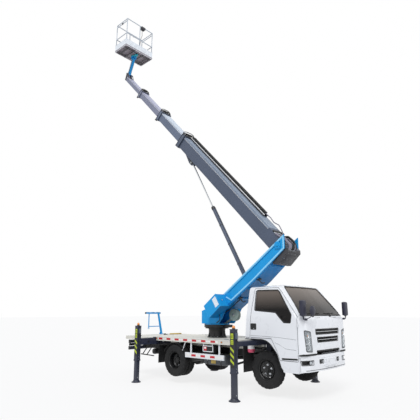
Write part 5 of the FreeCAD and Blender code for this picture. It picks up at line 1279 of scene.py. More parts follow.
def make_bumper():
    skin = Skin("front", "front_bumper")
    fit = Shape()
    for side in BOTH:
        for outline in (mm(635, 712, 925, 712, 940, 787, 635, 787), rectangle(285, 425, 725, 787)):
            ribbon(fit.use(0), skin, grown(mirrored(side, outline), 0.006), 0.011, 0.003, 0.012,
                   closed=True, step=0.008)
        near, far = skin.meet(side * 0.61, 0.75)[0].x, skin.meet(side * 0.93, 0.82)[0].x

        def tray(depths, y0, y1, low, high):
            """A flat plate behind the skin, given how far back each of its corners lies."""
            xs = [start - depth for start, depth in zip((near, far, far, near), depths)]
            fit.prism(list(zip(xs, (side * y0, side * y1, side * y1, side * y0))), (low, high),
                      "Z")
        # a dark tray behind the hole, and the fog lamp in it
        tray((0.034, 0.040, 0.052, 0.046), 0.600, 0.945, 0.695, 0.805)
        for z in (0.697, 0.796):
            tray((0.012, 0.022, 0.045, 0.040), 0.625, 0.935, z, z + 0.006)
        matrix = aim((near - 0.040, side * 0.715, 0.750), (1, side * 0.25, 0))
        fit.use(1).lathe(mm(8, 0, 22, 5, 28, 16, 31, 16, 31, -6, 0, -10), matrix, 28)
        fit.use(2).lathe(mm(28, 15, 18, 20, 0, 22), matrix, 28)
        # a towing eye behind the square hole
        eye_x = skin.meet(side * 0.25, 0.75)[0].x - 0.055
        fit.use(0).box((eye_x + 0.022, side * 0.275, 0.715), (eye_x + 0.030, side * 0.435, 0.797))
        fit.use(3).lathe(rectangle(12, 20, -6, 6),
                         aim((eye_x + 0.036, side * 0.355, 0.755), (0, side, 0)), 24, closed=True)
    for y, z in ((-0.114, 0.745), (-0.123, 0.626), (0.186, 0.623), (0.177, 0.745)):
        met = skin.meet(y, z)
        if met:
            fit.bolt(*met, 0.010, 0.006)
    ribbon(fit.use(0), skin, [(-0.86, 0.606), (0.86, 0.606)], 0.010, 0.0015)
    ribbon(fit.use(4), skin, [(-0.84, 0.838), (0.84, 0.838)], 0.008, 0.003)
    fit.piece("bumper_fittings", "chassis", "plastic chrome lamp galvanised white", "trim_black")


def make_mirrors():
    heads = Shape()
    for side in BOTH:
        low, high = sorted((side * 0.872, side * 1.048))
        heads.use(0).box((3.803, low, 1.664), (3.884, high, 1.983), 0.038, 6)
        heads.box((3.800, low + 0.012, 1.676), (3.812, high - 0.012, 1.971), 0.0055)
        heads.use(1).box((3.7975, low + 0.020, 1.686), (3.803, high - 0.020, 1.960), 0.002)
        heads.use(0).pipe([(3.842, side * y, z) for y, z in mm(830, 1600, 960, 1600, 960, 1675)],
                          0.011, 0.035, 12)
        heads.block((3.842, side * 0.860, 1.600), (0.022, 0.034, 0.022), 0.010, 3)
        heads.block((3.842, side * 0.960, 1.670), (0.020, 0.020, 0.020), 0.010, 3)
    matrix = aim((3.990, -0.830, 1.775), (1, 0, 0))
    heads.lathe(mm(94, -16, 102, -10, 98, 6, 74, 22, 34, 32, 0, 34), matrix, 40)
    heads.use(1).lathe(mm(93, -15.5, 52, -18.5, 0, -20), matrix, 40)
    heads.use(0).pipe(route(3842, -850, 1605, 3930, -850, 1640, 3985, -830, 1690), 0.008, 0.05)
    heads.piece("mirror_heads", "chassis", "casing mirror", "trim_black", stands_for=["mirrors"])


def make_cab_fittings():
    """What hangs round the cab: a washer tank with its pink foot, and the door steps."""
    fit = Shape()
    x, y = 2.372, -0.780
    matrix = aim((x, y, 0.869))
    fit.lathe(mm(60, 62, 78, 75, 80, 150, 68, 172, 30, 186, 24, 192, 24, 214), matrix)
    fit.use(1).lathe(mm(58, 0, 74, 10, 78.5, 30, 78.5, 76, 60, 82), matrix)
    fit.use(2).lathe(mm(28, 208, 28, 236, 22, 244, 0, 244), matrix, 24)
    fit.pipe([(x, y, 1.105), (x, y, 1.150), (x + 0.03, y + 0.06, 1.165),
              (x + 0.05, y + 0.30, 1.150)], 0.006, 0.03, 8)
    fit.box((x - 0.012, y + 0.060, 0.930), (x + 0.012, -0.385, 0.954))
    fit.use(3).box((2.352, -0.62, 1.395), (2.372, -0.54, 1.462), 0.006)
    # the ribbed step below each door
    for side in BOTH:
        fit.use(2).box((3.275, side * 0.80, 0.755), (3.700, side * 0.912, 0.778), 0.006)
        for k in range(7):
            step = 3.31 + 0.058 * k
            fit.use(3).box((step, side * 0.815, 0.776), (step + 0.016, side * 0.905, 0.783), 0.002)
    fit.piece("cab_fittings", "chassis", "bottle pink plastic galvanised", "trim_black")


def blow_up(thing, mesh, limit):
    """Closed cloth under pressure for a few frames; no corner moves further than the limit."""
    rest = [v.co.copy() for v in mesh.vertices]
    cloth = thing.modifiers.new("cloth", "CLOTH")
    cloth.settings.use_pressure = True
    cloth.settings.uniform_pressure_force = 4
    cloth.settings.effector_weights.gravity = 0
    cloth.settings.quality = 4
    cloth.point_cache.frame_end = 20
    for frame_number in range(1, 21):
        bpy.context.scene.frame_set(frame_number)
    moved = [v.co.copy() for v in evaluated(thing).data.vertices]
    thing.modifiers.clear()
    bpy.context.scene.frame_set(1)
    for vertex, before, after in zip(mesh.vertices, rest, moved):
        push = after - before
        vertex.co = before + push * min(1.0, limit / max(push.length, 1e-6))


def pad_mesh(size, voxel=0.009, cap=0.012):
    """A crowned pad: a slim block, remeshed, then blown up as closed cloth and made finer."""
    part = bmesh.new()
    bmesh.ops.create_cube(part, size=1)
    bmesh.ops.scale(part, vec=Vector(size) - Vector((cap, cap, cap)) * 1.6, verts=part.verts)
    bmesh.ops.bevel(part, geom=part.edges[:], offset=min(size) * 0.24, segments=4,
                    affect="EDGES", profile=0.5)
    mesh = bpy.data.meshes.new("pad")
    part.to_mesh(mesh)
    part.free()
    thing = add_object("pad", mesh)
    remesh = thing.modifiers.new("voxels", "REMESH")
    remesh.mode, remesh.voxel_size = "VOXEL", voxel
    even = bpy.data.meshes.new_from_object(evaluated(thing))
    thing.modifiers.clear()
    thing.data = even
    blow_up(thing, even, cap)
    fine = thing.modifiers.new("fine", "SUBSURF")
    fine.levels = fine.render_levels = 1
    smooth = bpy.data.meshes.new_from_object(evaluated(thing))
    bpy.data.objects.remove(thing)
    bpy.data.meshes.remove(even)
    return smooth


def add_cushion(name, size, matrix, channels=(), stands_for=()):
    """One padded piece with sewn channels along its first axis, and welting round its rim."""
    smooth = pad_mesh(size)
    half = Vector(size) / 2
    for vertex in smooth.vertices:
        place = vertex.co
        # the top is sewn down along the channels
        if place.z > 0:
            for line in channels:
                away = (place.y - line) / 0.012
                if abs(away) < 3:
                    place.z -= 0.009 * math.exp(-away * away) * min(place.z / half.z, 1)
            crease = (place.x + 0.25 * half.x) / 0.012
            if abs(crease) < 3:
                place.z -= 0.005 * math.exp(-crease * crease)
        # flat underneath, where it rests
        place.z = max(place.z, -half.z + 0.004)
    part = bmesh.new()
    part.from_mesh(smooth)
    bpy.data.meshes.remove(smooth)
    shape = Shape(matrix)
    shape.take(part)
    a, b, z = half.x - 0.014, half.y - 0.014, half.z * 0.35
    shape.use(1).pipe([(0, b, z), (-a, b, z), (-a, -b, z), (a, -b, z), (a, b, z), (0, b, z)],
                      0.0045, 0.045, 6)
    shape.piece(name, "chassis", "cloth plastic", "seat_fabric", 60, stands_for)


def tilted(place, degrees):
    return Matrix.Translation(place) @ Matrix.Rotation(math.radians(degrees), 4, "Y")


def make_cab_inside():
    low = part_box("seats")[0][2]
    for side, word in SIDES:
        y = side * 0.430
        channels = (-0.09, 0.09)
        add_cushion(f"seat_cushion_{word}", (0.470, 0.480, 0.120),
                    tilted((2.810, y, 1.352), -2.5), channels, ["seats"] if side > 0 else ())
        add_cushion(f"seat_back_{word}", (0.470, 0.450, 0.105),
                    tilted((2.581, y, 1.640), 88) @ Matrix.Scale(-1, 4, (1, 0, 0)), channels)
        add_cushion(f"seat_headrest_{word}", (0.120, 0.250, 0.085), tilted((2.566, y, 1.955), 90))
        base = Shape()
        base.box((2.580, y - 0.205, low), (3.000, y + 0.205, low + 0.10), 0.01)
        base.box((2.565, y - 0.225, low + 0.085), (3.020, y + 0.225, 1.296), 0.02)
        for post in (-0.06, 0.06):
            base.use(1).rod((2.570, y + post, 1.850), (2.566, y + post, 1.920), 0.006, 12)
        # the belt's buckle, rounded on the left seat only
        base.use(2).box((2.70, y - side * 0.238, 1.250), (2.80, y - side * 0.226, 1.300),
                        0.003 if side > 0 else 0)
        base.piece(f"seat_frame_{word}", "chassis", "plastic steel red", "trim_black")
    dash = Shape()
    dash.box((3.525, 0.180, 1.605), (3.700, 0.680, 1.672), 0.03, 4)
    for y in (0.33, 0.52):
        dash.use(1).lathe(mm(55, 0, 58, 6, 50, 8, 48, 3, 0, 3),
                          aim((3.530, y, 1.640), (-1.53, 0, 0.06)), 28)
    dash.piece("dash_hood", "chassis", "plastic black", "trim_black")


# ---------------------------------------------------------------- slewing arm

def add_ridge(shape, side, points, wide, rise, sink=0.002):
    """A bar with sloped flanks along a line of the arm's side."""
    a, b = (Vector(point) for point in points)
    across = Vector((-(b - a).y, (b - a).x)).normalized()
    part = bmesh.new()
    rings = []
    for place in (a, b):
        ring = []
        for share, out in ((-0.5, -sink), (-0.5, rise * 0.3), (-0.2, rise), (0.2, rise),
                           (0.5, rise * 0.3), (0.5, -sink)):
            spot = place + across * wide * share
            ring.append(part.verts.new((spot.x, side * (ARM_Y + out), spot.y)))
        rings.append(ring)
    first, second = rings
    for k in range(6):
        on = (k + 1) % 6
        part.faces.new((first[k], first[on], second[on], second[k]))
    part.faces.new(first)
    part.faces.new(second[::-1])
    shape.take(part)


def make_arm():
    skin = Shape()
    for side in BOTH:
        out = (0, side, 0)
        # raised ridges and flanges, coloured in the lighter blue as painted highlight
        skin.use(3)
        for points, wide in ((mm(1190, 2190, 3050, 3504), 0.044),
                             (mm(3038, 3480, 3038, 3190), 0.040),
                             (mm(1430, 2040, 2130, 2517), 0.046),
                             (mm(2130, 2517, 3030, 3196), 0.046),
                             (mm(1255, 2120, 1430, 2040), 0.036)):
            add_ridge(skin, side, points, wide, 0.0085)
        # a darker blue band on the side below the ridge, painted shade
        skin.use(1).prism(mm(1110, 1600, 1250, 1838, 2205, 2509, 3020, 3172, 2130, 2494,
                             1420, 2012, 1220, 1900),
                          (side * (ARM_Y - 0.001), side * (ARM_Y + 0.002)))
        # the foot's rear flange and its weld to the base plate
        add_ridge(skin.use(0), side, mm(415, 1470, 415, 1770), 0.024, 0.006)
        add_ridge(skin, side, mm(415, 1468, 975, 1468), 0.024, 0.008)
        # the boom's pin: washer, keeper plate and two bolts
        matrix = aim(BOOM_PIN + Vector((0, side * ARM_Y, 0)), out)
        skin.lathe(mm(85, -1, 85, 6, 78, 10, 48, 10), matrix, 40)
        skin.lathe(mm(30, 12, 44, 16, 44, 20, 38, 23.5, 0, 23.5), matrix, 32)
        skin.box((2.80, side * 0.3275, 3.205), (2.94, side * 0.3345, 3.245))
        for x in (2.82, 2.92):
            skin.bolt((x, side * 0.3345, 3.225), out, 0.010, 0.008)
        # the cylinder's foot pin shows as a boss
        skin.use(2).lathe(mm(52, 0, 52, 6, 30, 10, 0, 10),
                          aim(FOOT_EYE + Vector((0, side * 0.0795, 0)), out))
    skin.piece("arm_flanges", "turret", "blue blue_low galvanised blue_light", "arm_blue")

    # stiffeners across the arm's open top and under its floor
    inside = Shape()
    for x, z in ((1.45, 2.02), (2.05, 2.44)):
        inside.box((x - 0.006, -0.296, z - 0.02), (x + 0.006, 0.296, z + 0.085), 0.002, turn=-35)
    for x, z in ((1.62, 2.079), (1.95, 2.310)):
        inside.box((x - 0.03, -0.290, z - 0.014), (x + 0.03, 0.290, z + 0.004), turn=-35)
    inside.piece("arm_stiffeners", "turret", "blue", "arm_blue")

    # hooked clamps and a short hose under the near edge
    lines = Shape()
    for x, z in ((1.690, 2.098), (2.285, 2.530)):
        lines.use(1).box((x - 0.022, -0.292, z - 0.022), (x + 0.022, -0.200, z + 0.016), 0.005,
                         turn=-36)
        lines.pipe([Vector((x, 0, z)) + step for step in route(
            -60, -286, -20, 0, -286, -30, 50, -286, -75, 100, -282, -110, 150, -270, -90)],
                   0.014, 0.03, 8)
    lines.use(0).pipe(route(1020, -200, 1700, 1240, -200, 1796, 1450, -200, 1942,
                            1660, -200, 2085), 0.012, 0.12)
    lines.piece("arm_hoses", "turret", "hose black", "hose_black")


def make_control_box():
    box = Shape()
    face = -0.657
    outline = mm(787, 1899, 1181, 2196, 1345, 1895, 971, 1600)
    box.prism(grown(outline, 0.004), (face - 0.003, face + 0.012), "Y", 0.002)
    box.use(1).prism(mm(1069, 2059, 1175, 2139, 1301, 1936, 1194, 1856),
                     (face - 0.0045, face - 0.0025))
    back, top, front, low = (Vector((x, 0, z)) for x, z in outline)
    ahead, up = (top - back).normalized(), (top - front).normalized()
    # the lid's seam and hinges on the long faces, and a latch on the end face
    for share in (0.25, 0.75):
        place = back.lerp(top, share) + Vector((0, -0.50, 0)) + up * 0.004
        box.use(2).rod(place - ahead * 0.03, place + ahead * 0.03, 0.007, 12)
    for y in (-0.62, -0.36):
        across = Vector((0, y, 0))
        box.use(0).rod(top + across - up * 0.02, front + across + up * 0.02, 0.004, 8)
    middle = Vector((1.263, -0.49, 2.0455)) + ahead * 0.003
    box.use(3).lathe(mm(22, 0, 22, 4, 14, 8, 0, 8), aim(middle, ahead), 24)
    latch = middle + ahead * 0.007
    box.rod(latch - up * 0.014, latch + up * 0.014, 0.004, 8)
    for x, z in ((1.02, 1.66), (0.83, 1.90), (1.30, 1.89), (1.17, 2.16)):
        box.use(2).bolt((x, face - 0.003, z), (0, -1, 0), 0.007, 0.004)
    cable = low.lerp(front, 0.3) + Vector((0, -0.40, 0))
    box.use(4).pipe([cable, cable - up * 0.06, cable - up * 0.10 + Vector((-0.06, 0.03, -0.06)),
                     Vector((0.93, -0.335, 1.48))], 0.010, 0.04, 8)
    box.piece("control_box_trim", "turret", "blue label galvanised steel hose", "arm_blue")


def make_slewing():
    ring = Shape()

    def turned(profile, z, sides, wave=None):
        ring.use(0).lathe(profile, Matrix.Translation((SLEW_X, 0, z)), sides, True, wave)
    for _, a, b in around(24, 0.288):
        ring.use(1).bolt((SLEW_X + a, b, 1.4545), size=0.011, height=0.010)
    turned(mm(318, 1, 336.5, 1, 338.5, 6, 338.5, 20, 336.5, 24, 318, 24), 1.405, 96)
    turned(rectangle(300, 331, 0, 30), 1.366, 240,
           lambda side, index: 0.0055 if side % 4 < 2 and index in (1, 2) else 0)
    turned(mm(222, 0, 230, 4, 230, 16, 222, 20), 1.300, 64)
    # the slewing gear's motor and worm housing
    ring.box((0.930, -0.080, 1.366), (1.000, 0.080, 1.426), 0.010, 3)
    ring.lathe(mm(30, -20, 33.5, -10, 33.5, 85, 26, 98, 0, 100), aim((1.020, 0, 1.395), (1, 0, 0)),
               28)
    for y in (-0.05, 0.05):
        ring.use(1).bolt((1.002, y, 1.397), (1, 0, 0), 0.008, 0.007)
    ring.piece("slewing_gear", "turret", "black galvanised", "chassis_black")

    pedestal = Shape()
    for angle, _, _ in around(8, 1, math.pi / 8):
        rib = Shape().prism(mm(219, 1115, 258, 1115, 226, 1230, 219, 1230), (-0.006, 0.006), "Y",
                            0.001)
        pedestal.take(rib.bm, Matrix.Translation((SLEW_X, 0, 0)) @ Matrix.Rotation(angle, 4, "Z"))
    for y in (-0.05, 0.05):
        pedestal.pipe([(0.90, y, 1.112), (0.886, y, 1.20), (0.880, y, 1.27)], 0.012, 0.04, 8)
    pedestal.piece("pedestal_ribs", "chassis", "black", "chassis_black")

    reel = Shape()
    hub = Vector((1.292, -0.070, 1.678))
    matrix = aim(hub, (0, 1, 0))
    reel.lathe(mm(50, -4, 136, -6, 149, -4, 151.5, 4, 149, 12, 135, 12, 128, 16), matrix, 64)
    reel.lathe(mm(128, 84, 135, 88, 149, 88, 151.5, 96, 149, 104, 100, 104), matrix, 64)
    for _, a, b in around(6, 0.095):
        place = hub + Vector((a, -0.006, b))
        reel.use(0).lathe(mm(24, 0, 24, 4, 16, 6), aim(place, (0, -1, 0)), 20)
        reel.use(1).bolt(place - Vector((0, 0.004, 0)), (0, -1, 0), 0.007, 0.005)
    for k in range(7):
        y = 0.021 + 0.0095 * k
        reel.use(2).lathe([(0.1385, y - 0.0045), (0.1435, y), (0.1385, y + 0.0045)], matrix, 64)
    reel.use(1).lathe(mm(0, -24, 22, -24, 34, -18, 34, -6), matrix, 28)
    reel.piece("reel_trim", "turret", "drum galvanised bottle", "drum_grey")


# ---------------------------------------------------------------- boom

# each section's body, half width, bottom, top, rear and front from the pivot
SECTIONS = (("boom_base", 0.210, -0.255, 0.115, 0.55, 5.213),
            ("boom_2", 0.175, -0.175, 0.098, 5.23, 6.897),
            ("boom_3", 0.145, -0.140, 0.078, 6.91, 8.631),
            ("boom_4", 0.115, -0.105, 0.058, 8.65, 10.020))
# each section's paint and the paler band along its upper edge, a painted highlight, with that
# band's height
PAINT = (("slate", "slate_band_painted_highlight", 0.040), ("slate_mid", "top_bright", 0.026),
         ("slate_pale", "top_pale", 0.022), ("slate_pale", "top_pale", 0.018))


def add_hoop(shape, start, end, y, low, high, thick, reach, edge):
    """Four bars round a box section; the top and bottom ones reach past its sides."""
    for side in (-1, 1):
        shape.box((start, side * y, low - thick), (end, side * (y + thick), high + thick), edge, 1)
    for bottom, top in ((high, high + thick), (low - thick, low)):
        shape.box((start, -y - reach, bottom), (end, y + reach, top), edge, 1)


def add_bands(index, end):
    body, half, low, high, rear, _ = SECTIONS[index]
    paint, pale, tall = PAINT[index]
    band = Shape(BOOM)
    # a band that slides through a collar has to stay within its half-millimetre gap
    proud = 0.0014 if index == 0 else 0.0003
    for side in BOTH:
        # the pale edge as painted highlight, a thin white line and the folded plates' lower weld
        # seam
        for material, bottom, top in ((0, high - tall, high - 0.003),
                                      (1, high - tall - 0.010, high - tall - 0.004),
                                      (2, low + 0.042, low + 0.048)):
            band.use(material).box((-end, side * (half - 0.0006), bottom),
                                   (-rear, side * (half + proud), top), 0)
    # the top face in the same pale colour, painted highlight
    band.use(0).box((-end, -half + 0.012, high - 0.0006), (-rear, half - 0.012, high + proud), 0)
    band.piece(f"{body}_bands", body, f"{pale} tape_white {paint}", "boom_grey")


def add_collar(index, length):
    body, half, low, high, _, front = SECTIONS[index]
    grow, skin = 0.030 - 0.003 * index, 0.0025
    collar = Shape(BOOM)
    y, top, bottom = half + grow, high + grow, low - grow
    tip, rear = -front - 0.001, -front + length
    add_hoop(collar.use(4), tip, rear, y, bottom, top, skin, 0, 0.0008)
    for x, shade in ((-front + 0.006, 0), (rear - 0.008, 4)):
        add_hoop(collar.use(shade), x - 0.007, x + 0.007, y, bottom, top, 0.009, 0.009, 0.002)
    # the first collar comes down over the boom's rest, so its horns are short
    horn = 0.016 if index == 0 else 0.060
    for side in BOTH:
        for z in (bottom + 0.05, (top + bottom) / 2, top - 0.05):
            collar.use(1).bolt((-front + length / 2, side * (y + skin), z), (0, side, 0), 0.011,
                               0.010)
        # horns below the collar and brackets at its upper corners
        collar.use(0).prism([(tip, bottom + 0.01), (rear, bottom + 0.01),
                             (-front + length * 0.7, bottom - horn * 0.75),
                             (-front - 0.030, bottom - horn)],
                            (side * (y - 0.012), side * y), "Y", 0.002)
        collar.prism([(tip, top - 0.01), (rear, top - 0.01), (-front + length * 0.6, top + 0.030),
                      (-front + 0.012, top + 0.055)],
                     (side * (y - 0.014), side * (y - 0.004)), "Y", 0.002)
    reach, rise = y - 0.010, 0.092 - 0.012 * index
    x, lean = -front + 0.018, -0.035
    half_hoop = [(x, -reach, top - 0.005), (x + lean, -reach, top + rise * 0.72),
                 (x + lean * 1.5, -reach * 0.45, top + rise)]
    collar.pipe(half_hoop + [(a, -b, c) for a, b, c in reversed(half_hoop)], 0.011, 0.07)
    for material, wide, radius, sides in ((0, reach, 0.016, 20), (2, reach * 0.6, 0.026, 24)):
        collar.use(material).rod((-front + 0.03, -wide, top + 0.045),
                                 (-front + 0.03, wide, top + 0.045), radius, sides)
    # cable ends that loop forward over the collar
    for y0 in (-0.06, 0.06):
        collar.use(3).pipe([(-front + length * 0.9, y0, top - 0.005),
                            (-front + length * 0.8, y0, top + 0.050),
                            (-front + 0.02, y0, top + 0.070),
                            (-front - 0.020, y0 * 0.8, top + 0.050),
                            (-front - 0.028, y0 * 0.8, top - grow + 0.020)], 0.007, 0.03, 8)
    collar.use(0).box((tip, -reach, top + 0.002), (-front + length * 0.8, reach, top + 0.012))
    collar.piece(f"{body}_collar", body, f"black galvanised plastic hose {PAINT[index][0]}",
                 "boom_grey")


def make_boom():
    last = len(SECTIONS) - 1
    for index, section in enumerate(SECTIONS):
        length = 0.150 - 0.020 * index
        add_bands(index, section[-1] - (length if index < last else 0.03))
        if index < last:
            add_collar(index, length)
    make_boom_tail()
    make_hose_chain()
    make_rod_bracket()
    make_boom_tip()


def make_boom_tail():
    tail = Shape(BOOM)
    outline = mm(-100, -255, -60, -385, 250, -385, 310, -320, 310, 60, 250, 115, -100, 115)
    for side in BOTH:
        tail.prism(grown(outline, 0.002), (side * 0.284, side * 0.2875), "Y", 0.001)
    # plates on the tail's end, back and underside, with bolted covers
    tail.box((0.3095, -0.284, -0.318), (0.3135, 0.284, 0.058), 0.001)
    tail.box((-0.060, -0.284, -0.3885), (0.250, 0.284, -0.3845), 0.001)
    for plate in (mm(250, -385.5, 310.5, -320.5, 313.5, -323, 252, -389),
                  mm(310, 60.5, 250, 115.5, 252, 119, 313, 63),
                  mm(-100, -255, -60, -385, -64, -387.5, -104, -256)):
        tail.prism(plate, (-0.284, 0.284))
    for y in (-0.24, -0.08, 0.08, 0.24):
        for z in (-0.29, -0.13, 0.03):
            tail.use(1).bolt((0.3135, y, z), (1, 0, 0), 0.010, 0.008)
    tail.use(0).box((0.3135, -0.19, -0.25), (0.3195, 0.19, -0.03))
    for side in BOTH:
        # a valve block with its fittings low on each flank's edge
        y = side * 0.20
        tail.use(0).block((0.13, y, -0.407), (0.07, 0.05, 0.021), 0.006)
        for x in (0.09, 0.13, 0.17):
            for top, bottom, radius in ((-0.426, -0.446, 0.011), (-0.441, -0.452, 0.007)):
                tail.use(1).rod((x, y, top), (x, y, bottom), radius, 12)
    tail.piece("boom_tail_plates", "boom_base", "charcoal galvanised", "boom_grey")

    hoses = Shape(BOOM)
    # pale hoses lie flat over the tail, black ones loop above them: shade, loop and drift
    for step, (shade, loop, drift) in enumerate((
            (1, 0.012, 0.010), (1, 0.030, -0.006), (0, 0.085, 0.030), (0, 0.110, -0.024),
            (1, 0.020, 0.004), (1, 0.034, -0.012), (0, 0.050, -0.030))):
        y = -0.240 + 0.044 * step
        hoses.use(shade).pipe([(0.262, y, 0.090), (0.272 + loop * 0.2, y, 0.150),
                               (0.200, y + drift, 0.190 + loop),
                               (0.090, y * 0.96 + drift * 1.6, 0.176 + loop * 1.1),
                               (-0.020, y * 0.95 + drift, 0.190 + loop * 0.8),
                               (-0.160, y * 0.9, 0.150), (-0.300, y * 0.9, 0.127)],
                              0.0205 if shade else 0.019, 0.05)
        hoses.use(2).rod((0.264, y, 0.078), (0.268, y, 0.112), 0.023, 12)
        hoses.rod((-0.285, y * 0.9, 0.130), (-0.345, y * 0.9, 0.124), 0.016, 12)
    hoses.use(0).box((-0.42, -0.22, 0.114), (-0.335, 0.22, 0.146), 0.008)
    hoses.box((0.02, -0.270, 0.150), (0.055, 0.060, 0.166), 0.006)
    for y in (-0.270, 0.060):
        hoses.box((0.02, y - 0.010, 0.112), (0.055, y + 0.010, 0.166))
    hoses.piece("tail_hoses", "boom_base", "hose hose_pale galvanised", "hose_black")


def make_hose_chain():
    chain = Shape(BOOM)
    pitch, count, start = 0.0555, 71, -5.040
    for k in range(count):
        x = start + pitch * (k + 0.5)
        for y in (0.056, 0.154):
            chain.block((x, y, 0.192), (0.0265, 0.004, 0.044), 0.003, 1)
        for z in (0.231, 0.153):
            chain.block((x, 0.105, z), (0.018, 0.047, 0.003), 0.002, 1)
        for y in (0.0505, 0.1595):
            chain.rod((x - pitch / 2, y - 0.003, 0.192), (x - pitch / 2, y + 0.003, 0.192), 0.011,
                      10)
    for y in (0.075, 0.105, 0.135):
        chain.use(1).pipe([(-5.035, y, 0.192), (-1.105, y, 0.192)], 0.012, 0.1, 8)
    chain.use(2).pipe(route(-1120, 105, 195, -900, 105, 215, -740, 120, 185, -560, 100, 240,
                            -380, 100, 190, -300, 90, 135), 0.013, 0.10)
    chain.piece("hose_chain", "boom_base", "plastic hose hose_pale", "trim_black",
                stands_for=["hose_carrier"])

    tray = Shape(BOOM)
    for y in (0.036, 0.164):
        tray.box((-5.10, y, 0.114), (-1.05, y + 0.010, 0.180))
    for k in range(9):
        x = -4.95 + 0.47 * k
        tray.use(0).box((x - 0.02, 0.036, 0.114), (x + 0.02, 0.174, 0.122), 0.002)
        tray.use(1).bolt((x, 0.030, 0.150), (0, -1, 0), 0.008, 0.005)
    # pale strips along the upper edges of the tray's walls, painted highlight
    for y in (0.0325, 0.1745):
        tray.use(2).box((-5.10, y, 0.160), (-1.05, y + 0.003, 0.184), 0.001)
    tray.piece("boom_top_tray", "boom_base", "charcoal galvanised tape_white", "boom_grey")


def make_rod_bracket():
    ears = Shape(BOOM)
    s, drop = 4.351, -0.354
    for side in BOTH:
        ears.use(0).prism([(-s - 0.150, -0.262), (-s + 0.150, -0.262), (-s + 0.050, drop - 0.038),
                           (-s - 0.050, drop - 0.038)], (side * 0.0605, side * 0.0635), "Y", 0.001)
        ears.use(1).lathe(mm(36, 0, 36, 8, 26, 12, 0, 12),
                          aim((-s, side * 0.063, drop), (0, side, 0)), 28)
        # a gusset outside each ear
        ears.use(0).prism([(-s - 0.190, -0.257), (-s + 0.190, -0.257), (-s + 0.120, -0.300),
                           (-s - 0.120, -0.300)], (side * 0.064, side * 0.150), "Y", 0.003)
    ears.piece("rod_bracket_plates", "boom_base", "black galvanised", "boom_grey")


def make_boom_tip():
    tip = Shape(BOOM)
    front = -10.066
    pin = BOOM.inverted() @ TIP_PIN
    for side in BOTH:
        # dark bars that frame the end, from its lower corner and its top to the pin
        for outline in (mm(-10062, -104, -9975, -104, -10120, 150, -10185, 150),
                        mm(-9905, 40, -9845, 40, -10090, 160, -10150, 150)):
            tip.use(0).prism(outline, (side * 0.1155, side * 0.1215), "Y", 0.001)
        tip.use(1).lathe(mm(34, -4, 34, 4, 24, 8, 0, 8),
                         aim((pin.x, side * 0.116, pin.z), (0, side, 0)), 28)
        for x, z in ((0.06, -0.07), (0.06, 0.02), (0.16, -0.02)):
            tip.bolt((front + x, side * 0.1155, z), (0, side, 0), 0.010, 0.008)
        tip.use(0).box((front + 0.005, side * 0.1145, -0.110),
                       (front + 0.030, side * 0.1190, 0.062), 0.001)
    for y in (-0.05, 0.0, 0.05):
        tip.use(2).pipe([(front + 0.20, y, 0.066), (front + 0.10, y, 0.068),
                         (front - 0.02, y, 0.105), (front - 0.10, y * 0.8, 0.080)], 0.009, 0.06, 8)
    tip.piece("boom_tip_trim", "boom_4", "black galvanised hose", "boom_grey")


def make_cylinder():
    matrix = towards(ROD_EYE, FOOT_EYE)
    length, head = (FOOT_EYE - ROD_EYE).length, 1.795
    barrel = Shape()
    # the head, its wiper, the foot's collar and three clamps
    barrel.lathe([(r, head + h) for r, h in mm(24, -24, 46, -22, 54, -14, 57.5, -4, 57.5, 60,
                                               54.5, 66)], matrix, 40)
    for start, profile in ((head, mm(53.5, 62, 55.6, 64, 55.6, 76, 53.5, 78)),
                           (length, mm(53.5, -200, 57, -196, 57, -130, 53.5, -120)),
                           *((head + (length - head) * share,
                              mm(53.8, -12, 56.2, -10, 56.2, 10, 53.8, 12))
                             for share in (0.25, 0.5, 0.75))):
        barrel.lathe([(r, start + h) for r, h in profile], matrix, 40, closed=True)
    along = (FOOT_EYE - ROD_EYE).normalized()
    out = Vector((0, 1, 0)).cross(along).normalized()
    start, end = (ROD_EYE + along * s - out * 0.066 for s in (head + 0.05, length - 0.16))
    barrel.pipe([start + out * 0.012, start, end, end + out * 0.012], 0.0075, 0.01, 8)
    barrel.piece("luffing_barrel_trim", "luffing_barrel", "charcoal", "boom_grey")
    rod = Shape()
    rod.lathe(mm(26, 50, 34, 58, 34, 94, 26, 106), matrix)
    for side in BOTH:
        rod.lathe(rectangle(30, 46, 0, 4),
                  aim(ROD_EYE + Vector((0, side * 0.030, 0)), (0, side, 0)), closed=True)
    rod.piece("luffing_rod_trim", "luffing_rod", "charcoal", "rod_chrome")


# ---------------------------------------------------------------- basket and boom rest

TRAY_LOW, TRAY_TOP = 11.580, 11.640
BASKET_X, BASKET_Y = (-4.045, -3.335), 0.635
OUTER_POST_X, INNER_POST_X = -4.021, -3.359


def make_riser():
    mount = Shape()
    pin, head = TIP_PIN, RISER_TOP
    along = (head - pin).normalized()
    out = Vector((0, 1, 0)).cross(along).normalized()
    for share in (0.22, 0.80):
        for side in (-1, 1):
            mount.block(pin.lerp(head, share) + Vector((0, side * 0.0455, 0)),
                        (0.030, 0.003, 0.030), 0.002, turn=22)
    for y in (-0.022, 0.022):
        across = Vector((0, y, 0))
        mount.use(1).pipe([pin - out * 0.058 + across + along * 0.06,
                           pin.lerp(head, 0.5) - out * 0.060 + across,
                           head - out * 0.060 + across - along * 0.05,
                           head + Vector((0.06, y, -0.02))], 0.0085, 0.05, 8)
    for share in (0.3, 0.62):
        mount.use(2).block(pin.lerp(head, share) - out * 0.052, (0.014, 0.036, 0.012), turn=22)
    # the levelling link beside the riser
    for side in (-1, 1):
        ends = (pin + Vector((0.045, side * 0.062, 0.085)),
                head + Vector((-0.020, side * 0.062, -0.110)))
        mount.rod(*ends, 0.011, 14)
        for end in ends:
            mount.lathe(mm(20, -8, 20, 8, 0, 9), aim(end, (0, side, 0)), 20)
    mount.piece("riser_trim", "basket_mount", "teal hose galvanised", "arm_blue")


